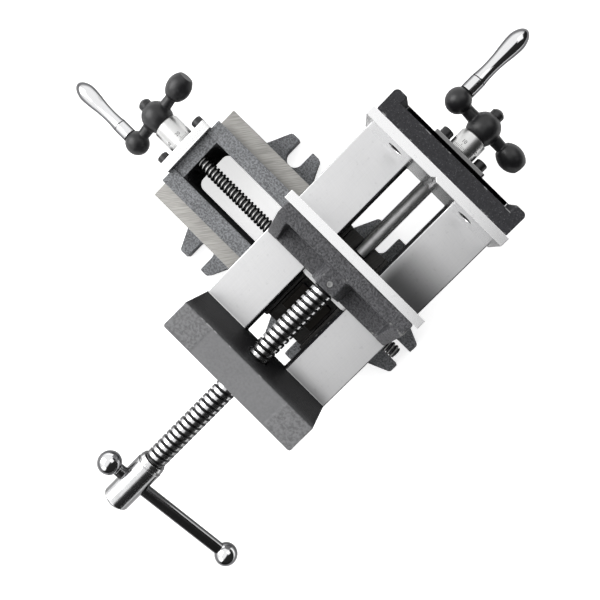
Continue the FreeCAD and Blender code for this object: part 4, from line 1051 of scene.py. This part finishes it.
neck_radius = HEAD_RADIUS - 1.0
groove = MAIN_THREAD_LENGTH + HEAD_RING
head = lathe([
    (MAIN_THREAD_LENGTH - 1.5, 0), (MAIN_THREAD_LENGTH - 1.5, MAIN_ROOT),
    (MAIN_THREAD_LENGTH, MAIN_ROOT + 0.6), (MAIN_THREAD_LENGTH, neck_radius, 0.3),
    (groove, HEAD_RADIUS - 0.2, 0.5), (groove + 0.4, neck_radius, 0.2),
    (groove + 1.4, neck_radius, 0.2), (groove + 1.9, HEAD_RADIUS, 0.4),
    (head_end - 2.4, HEAD_RADIUS, 1.2), (head_end, 6.0, 0.8), (head_end, 0)], 64)
main_screw = build("main_screw_bar", [main_thread, journal, head], main_place, main_finish,
                   "main_screw", "main_steel", "main_screw")
mark_crests(main_screw, main_place)

# The handle bar slides through the screw's head, and a chromed ball is screwed on each of its ends.
BAR_SHORT_END = 19.0
BAR_LONG_END = 77.4
KNOB_RADIUS = 7.5
BAR_CHROME = (0.50, 0.50, 0.505, 1)
bar_spot = MAIN_THREAD_LENGTH + BAR_HOLE_PLACE
pin_radius = BAR_RADIUS - 1
bar_start, bar_end = -BAR_SHORT_END + KNOB_RADIUS - 1, BAR_LONG_END - KNOB_RADIUS + 1
bar = lathe([
    (-BAR_SHORT_END + 2, 0), (-BAR_SHORT_END + 2, pin_radius), (bar_start, pin_radius),
    (bar_start, BAR_RADIUS, 0.4), (bar_end, BAR_RADIUS, 0.4), (bar_end, pin_radius),
    (BAR_LONG_END - 2, pin_radius), (BAR_LONG_END - 2, 0)])
shifted(bar, Matrix.Translation((bar_spot, 0, 0)), turned(90, "Z"))
build("handle_bar", [bar], main_place, plated("bar_chrome", BAR_CHROME, 0.12), "t_bar", "chrome", "t_bar")
for label, spot in (("left", -BAR_SHORT_END), ("right", BAR_LONG_END)):
    knob = ball((bar_spot, spot, 0), KNOB_RADIUS, 56)
    build(f"handle_knob_{label}", [knob], main_place, handle_chrome,
          "t_bar", "chrome", f"t_bar_ball_{label}")

# Socket screws with knurled heads hold the plates, nuts and jaws, and headless screws press on the gibs
# and lock the dials. All of them are steel with black oxide.
SOCKET_SHARE = 0.30
SOCKET_DEPTH = 0.55
KNURLS = 36
KNURL_SHARE = 0.975
HEAD_CHAMFER = 0.5
GRUB_STEEL = (0.42, 0.42, 0.42, 1)


def hexagon_ring(x, across, count):
    """Points along a hexagon round X, as many as a circle has."""
    ring = []
    for index in range(count):
        angle = math.tau * index / count
        radius = across / math.cos((angle + math.pi / 6) % (math.pi / 3) - math.pi / 6)
        ring.append((x, radius * math.cos(angle), radius * math.sin(angle)))
    return ring


def socket_screw(head, head_height, shank, length):
    """A cap screw whose seat is at the origin and whose head points to -X."""
    count = KNURLS * 2
    head_radius = head / 2
    socket = head * SOCKET_SHARE

    def knurled(x, radius):
        outer, inner = circle(x, radius, count), circle(x, radius * KNURL_SHARE, count)
        return [(inner if index % 2 else outer)[index] for index in range(count)]

    floor_level = -head_height * (1 - SOCKET_DEPTH)
    return loft([
        [(length, 0, 0)], circle(length, shank / 2 - 0.5, count), circle(length - 0.5, shank / 2, count),
        circle(0, shank / 2, count), circle(0, head_radius - 0.3, count), knurled(-0.3, head_radius),
        knurled(-head_height + HEAD_CHAMFER, head_radius),
        circle(-head_height, head_radius - HEAD_CHAMFER, count),
        hexagon_ring(-head_height, socket, count), hexagon_ring(floor_level, socket, count),
        [(floor_level, 0, 0)]])


def headless_screw(diameter, length):
    """A set screw from the origin along X, with its hexagon socket at the far end."""
    count, radius = 36, diameter / 2
    socket, floor_level = radius / 2, length - radius
    return loft([
        [(0, 0, 0)], circle(0, radius * 0.6, count), circle(0.6, radius, count),
        circle(length - 0.3, radius, count), circle(length, radius - 0.3, count),
        hexagon_ring(length, socket, count), hexagon_ring(floor_level, socket, count),
        [(floor_level, 0, 0)]])


def hex_nut(flats, height, bore):
    """A lock nut from the origin along X."""
    count = 36
    half = flats / 2
    return loft([
        circle(0, bore / 2, count), hexagon_ring(0, half - 0.4, count), hexagon_ring(0.4, half, count),
        hexagon_ring(height - 0.4, half, count), hexagon_ring(height, half - 0.5, count),
        circle(height, bore / 2, count)], True)


def row_tree():
    """Copies the mesh that it is given to a row of places, all turned the same way."""
    graph, given = new_tree("row_of_screws", {
        "Count": "Int", "First": "Vector", "Step": "Vector", "Turn": "Vector", "Material": "Material"})
    row = graph.node("GeometryNodeMeshLine", {"mode": "OFFSET"}, {
        "Count": given["Count"], "Start Location": given["First"], "Offset": given["Step"]})
    copies = graph.node("GeometryNodeInstanceOnPoints", None, {
        "Points": row, "Instance": given["Geometry"], "Rotation": given["Turn"]})
    end_tree(graph, copies, given["Material"])
    return graph.tree


ROW = row_tree()
TURNS = {"-X": (0, 0, math.pi), "+X": (0, 0, 0), "+Y": (0, 0, math.pi / 2), "-Y": (0, 0, -math.pi / 2),
         "+Z": (0, -math.pi / 2, 0), "-Z": (0, math.pi / 2, 0)}


def screw_row(name, node, body, heading, axis, count, width, make, head_height=0.0, steel=black_oxide):
    """Like screws in a row along an axis, in one piece, where the part's own screws are."""
    low, high = span(node)
    way, deep = heading[0], "XYZ".index(heading[1])
    first, step = (low + high) / 2, Vector()
    if count > 1:
        pitch = (high[axis] - low[axis] - width) / (count - 1)
        first[axis] -= pitch * (count - 1) / 2
        step[axis] = pitch
    first[deep] = low[deep] + head_height if way == "+" else high[deep] - head_height
    skin = make(high[deep] - low[deep] - head_height)
    made = run_tree(ROW, {"Count": count, "First": tuple(first), "Step": tuple(step),
                          "Turn": TURNS[heading], "Material": steel}, poured(name, skin))
    build(name, [made], Matrix.Scale(MM, 4), steel, body, "fastener_black", node)


CAP_SIZES = {
    "plate": (8.5, 6.8, 5.0), "nut": (8.5, 4.0, 5.0),
    "jaw": (10.0, 3.2, 6.0), "keeper": (10.0, 4.5, 6.0)}
for label, body, heading, axis, kind in (
        ("x_plate", "base", "+X", 1, "plate"), ("y_plate", "vise", "-Y", 0, "plate"),
        ("x_nut", "saddle", "-Z", 1, "nut"), ("y_nut", "saddle", "+Z", 0, "nut"),
        ("fixed_jaw", "vise", "+Y", 0, "jaw"), ("moving_jaw", "moving_jaw", "-Y", 0, "jaw"),
        ("keeper", "moving_jaw", "+Z", 0, "keeper")):
    head_size, head_height, shank = CAP_SIZES[kind]
    screw_row(f"{label}_caps", f"{label}_screws", body, heading, axis, 2, head_size,
              lambda length: socket_screw(head_size, head_height, shank, length), head_height)
GIB_SCREW = 6.0
NUT_FLATS = 9.0
DIAL_SCREW = 3.0
for tag, body, heading, axis in (("x", "saddle", "-Y", 0), ("y", "vise", "+X", 1)):
    screw_row(f"{tag}_gib_grubs", f"{tag}_gib_screws", body, heading, axis, 3, GIB_SCREW,
              lambda length: headless_screw(GIB_SCREW, length))
    screw_row(f"{tag}_gib_hex_nuts", f"{tag}_gib_locknuts", body, heading, axis, 3,
              NUT_FLATS / math.cos(math.pi / 6), lambda height: hex_nut(NUT_FLATS, height, GIB_SCREW))
for tag in ("x", "y"):
    grub = headless_screw(DIAL_SCREW, DIAL_RADIUS - DIAL_CHAMFER - JOURNAL_RADIUS)
    shifted(grub, Matrix.Translation((dial_lengths[tag] / 2, 0, JOURNAL_RADIUS)), turned(-90, "Y"))
    on_feed(tag, "dial_grub", [grub], black_oxide, "fastener_black", "dial_screw")
set_low, set_high = span("jaw_set_screw")
rubbed_steel = turned_steel("rubbed_set_screw", GRUB_STEEL, (6.0, 6.0, 6.0), 0.40, 0.30)
screw_row("jaw_grub", "jaw_set_screw", "moving_jaw", "+Z", 0, 1, 0.0,
          lambda length: headless_screw(set_high.x - set_low.x, length), steel=rubbed_steel)

# The part lies on a plain white floor under one large soft lamp and two weak ones, in a room that is
# bright on one side. The camera looks down from just over its middle, turned by an eighth of a turn.
FLOOR_SIZE = 6.0
FLOOR_WHITE = (0.80, 0.80, 0.80, 1)
FLOOR_GLOW = 0.72
SHADE_START = 150.0
SHADE_END = 420.0
CAMERA_PLACE = Vector((36.96, 26.51, 518.85)) * MM
CAMERA_TILT = Vector((5.579, -0.659, 0.213))
LENS = 41.68
SENSOR = 36.0


def ray_kinds(graph, *kinds):
    """For each kind of ray, a value that is 1 for it and 0 for others."""
    return [graph.node("ShaderNodeLightPath", output=f"Is {kind} Ray") for kind in kinds]


def floor_finish():
    """Matt white that the camera and reflections see as a white background, with soft shadows kept.

    Close to the part, reflections see the floor as it is lit, so that its own shadow shows in them.
    """
    finish = Finish("studio_floor", {"Base Color": FLOOR_WHITE, "Roughness": 0.9})
    camera_ray, glossy_ray, clear_ray = ray_kinds(finish, "Camera", "Glossy", "Transmission")
    distance = finish.node("ShaderNodeVectorMath", {"operation": "LENGTH"},
                           {0: finish.place}, output="Value")
    glossy_share = glossy_ray * finish.fade(distance, SHADE_START, SHADE_END)
    seen = (camera_ray + glossy_share + clear_ray).math("MINIMUM", 1.0)
    speck = finish.grain(30.0, 2.0)
    finish.plug(finish.shader.inputs["Roughness"], 0.85 + speck * 0.05)
    finish.shader.inputs["Emission Color"].default_value = (1, 1, 1, 1)
    finish.plug(finish.shader.inputs["Emission Strength"], seen * FLOOR_GLOW)
    return finish.material


floor_form = bmesh.new()
bmesh.ops.create_grid(floor_form, x_segments=1, y_segments=1, size=FLOOR_SIZE / 2)
floor = placed("studio_floor", poured("floor", floor_form))
floor.data.materials.append(floor_finish())

world = bpy.data.worlds.new("studio")
world.use_nodes = True
bpy.context.scene.world = world
sky = Graph(world.node_tree)
ROOM_DARK = 0.02
ROOM_LIGHT = 1.05
ROOM_SIDE = Vector((-1.0, -0.15, 0.20))
ROOM_EDGE = (-0.05, 0.12)
direction = sky.node("ShaderNodeTexCoord", output="Generated")
toward = sky.node("ShaderNodeVectorMath", {"operation": "DOT_PRODUCT"},
                  {0: direction, 1: ROOM_SIDE}, output="Value")
strength = sky.node("ShaderNodeMapRange", {"interpolation_type": "SMOOTHSTEP"}, {
    "Value": toward, "From Min": ROOM_EDGE[0], "From Max": ROOM_EDGE[1],
    "To Min": ROOM_DARK, "To Max": ROOM_LIGHT})
camera_ray, clear_ray = ray_kinds(sky, "Camera", "Transmission")
seen = camera_ray.math("MAXIMUM", clear_ray)
backdrop = sky.node("ShaderNodeMix", None, {0: seen, 2: strength, 3: 1.0})
sky.plug(world.node_tree.nodes["Background"].inputs["Strength"], backdrop)
world.node_tree.nodes["Background"].inputs["Color"].default_value = (1, 1, 1, 1)

LAMPS = (
    ("key_softbox", Vector((-0.75, -0.35, 0.70)), 0.80, 8.4),
    ("fill_softbox", Vector((0.15, 0.75, 0.85)), 0.6, 1.3),
    ("front_softbox", Vector((0.05, -0.95, 0.75)), 0.6, 1.2),
)
LAMP_AIM = Vector((0.02, 0.0, 0.06))
for label, spot, size, power in LAMPS:
    lamp = bpy.data.lights.new(label, "AREA")
    lamp.shape = "SQUARE"
    lamp.size = size
    lamp.energy = power
    holder = placed(label, lamp)
    holder.location = spot
    holder.rotation_mode = "QUATERNION"
    holder.rotation_quaternion = (LAMP_AIM - spot).to_track_quat("-Z", "Y")

camera_data = bpy.data.cameras.new("camera")
camera_data.lens = LENS
camera_data.sensor_width = SENSOR
camera_data.clip_start = 0.02
camera_data.clip_end = 20.0
camera = placed("camera", camera_data)
tilt = Matrix.Rotation(math.radians(CAMERA_TILT.length), 3, CAMERA_TILT)
right, up = (tilt[0] + tilt[1]).normalized(), (tilt[1] - tilt[0]).normalized()
facing = Matrix((right, up, tilt[2])).transposed()
camera.matrix_world = Matrix.Translation(CAMERA_PLACE) @ facing.to_4x4()
bpy.context.scene.camera = camera
bpy.context.scene.view_settings.view_transform = "Standard"
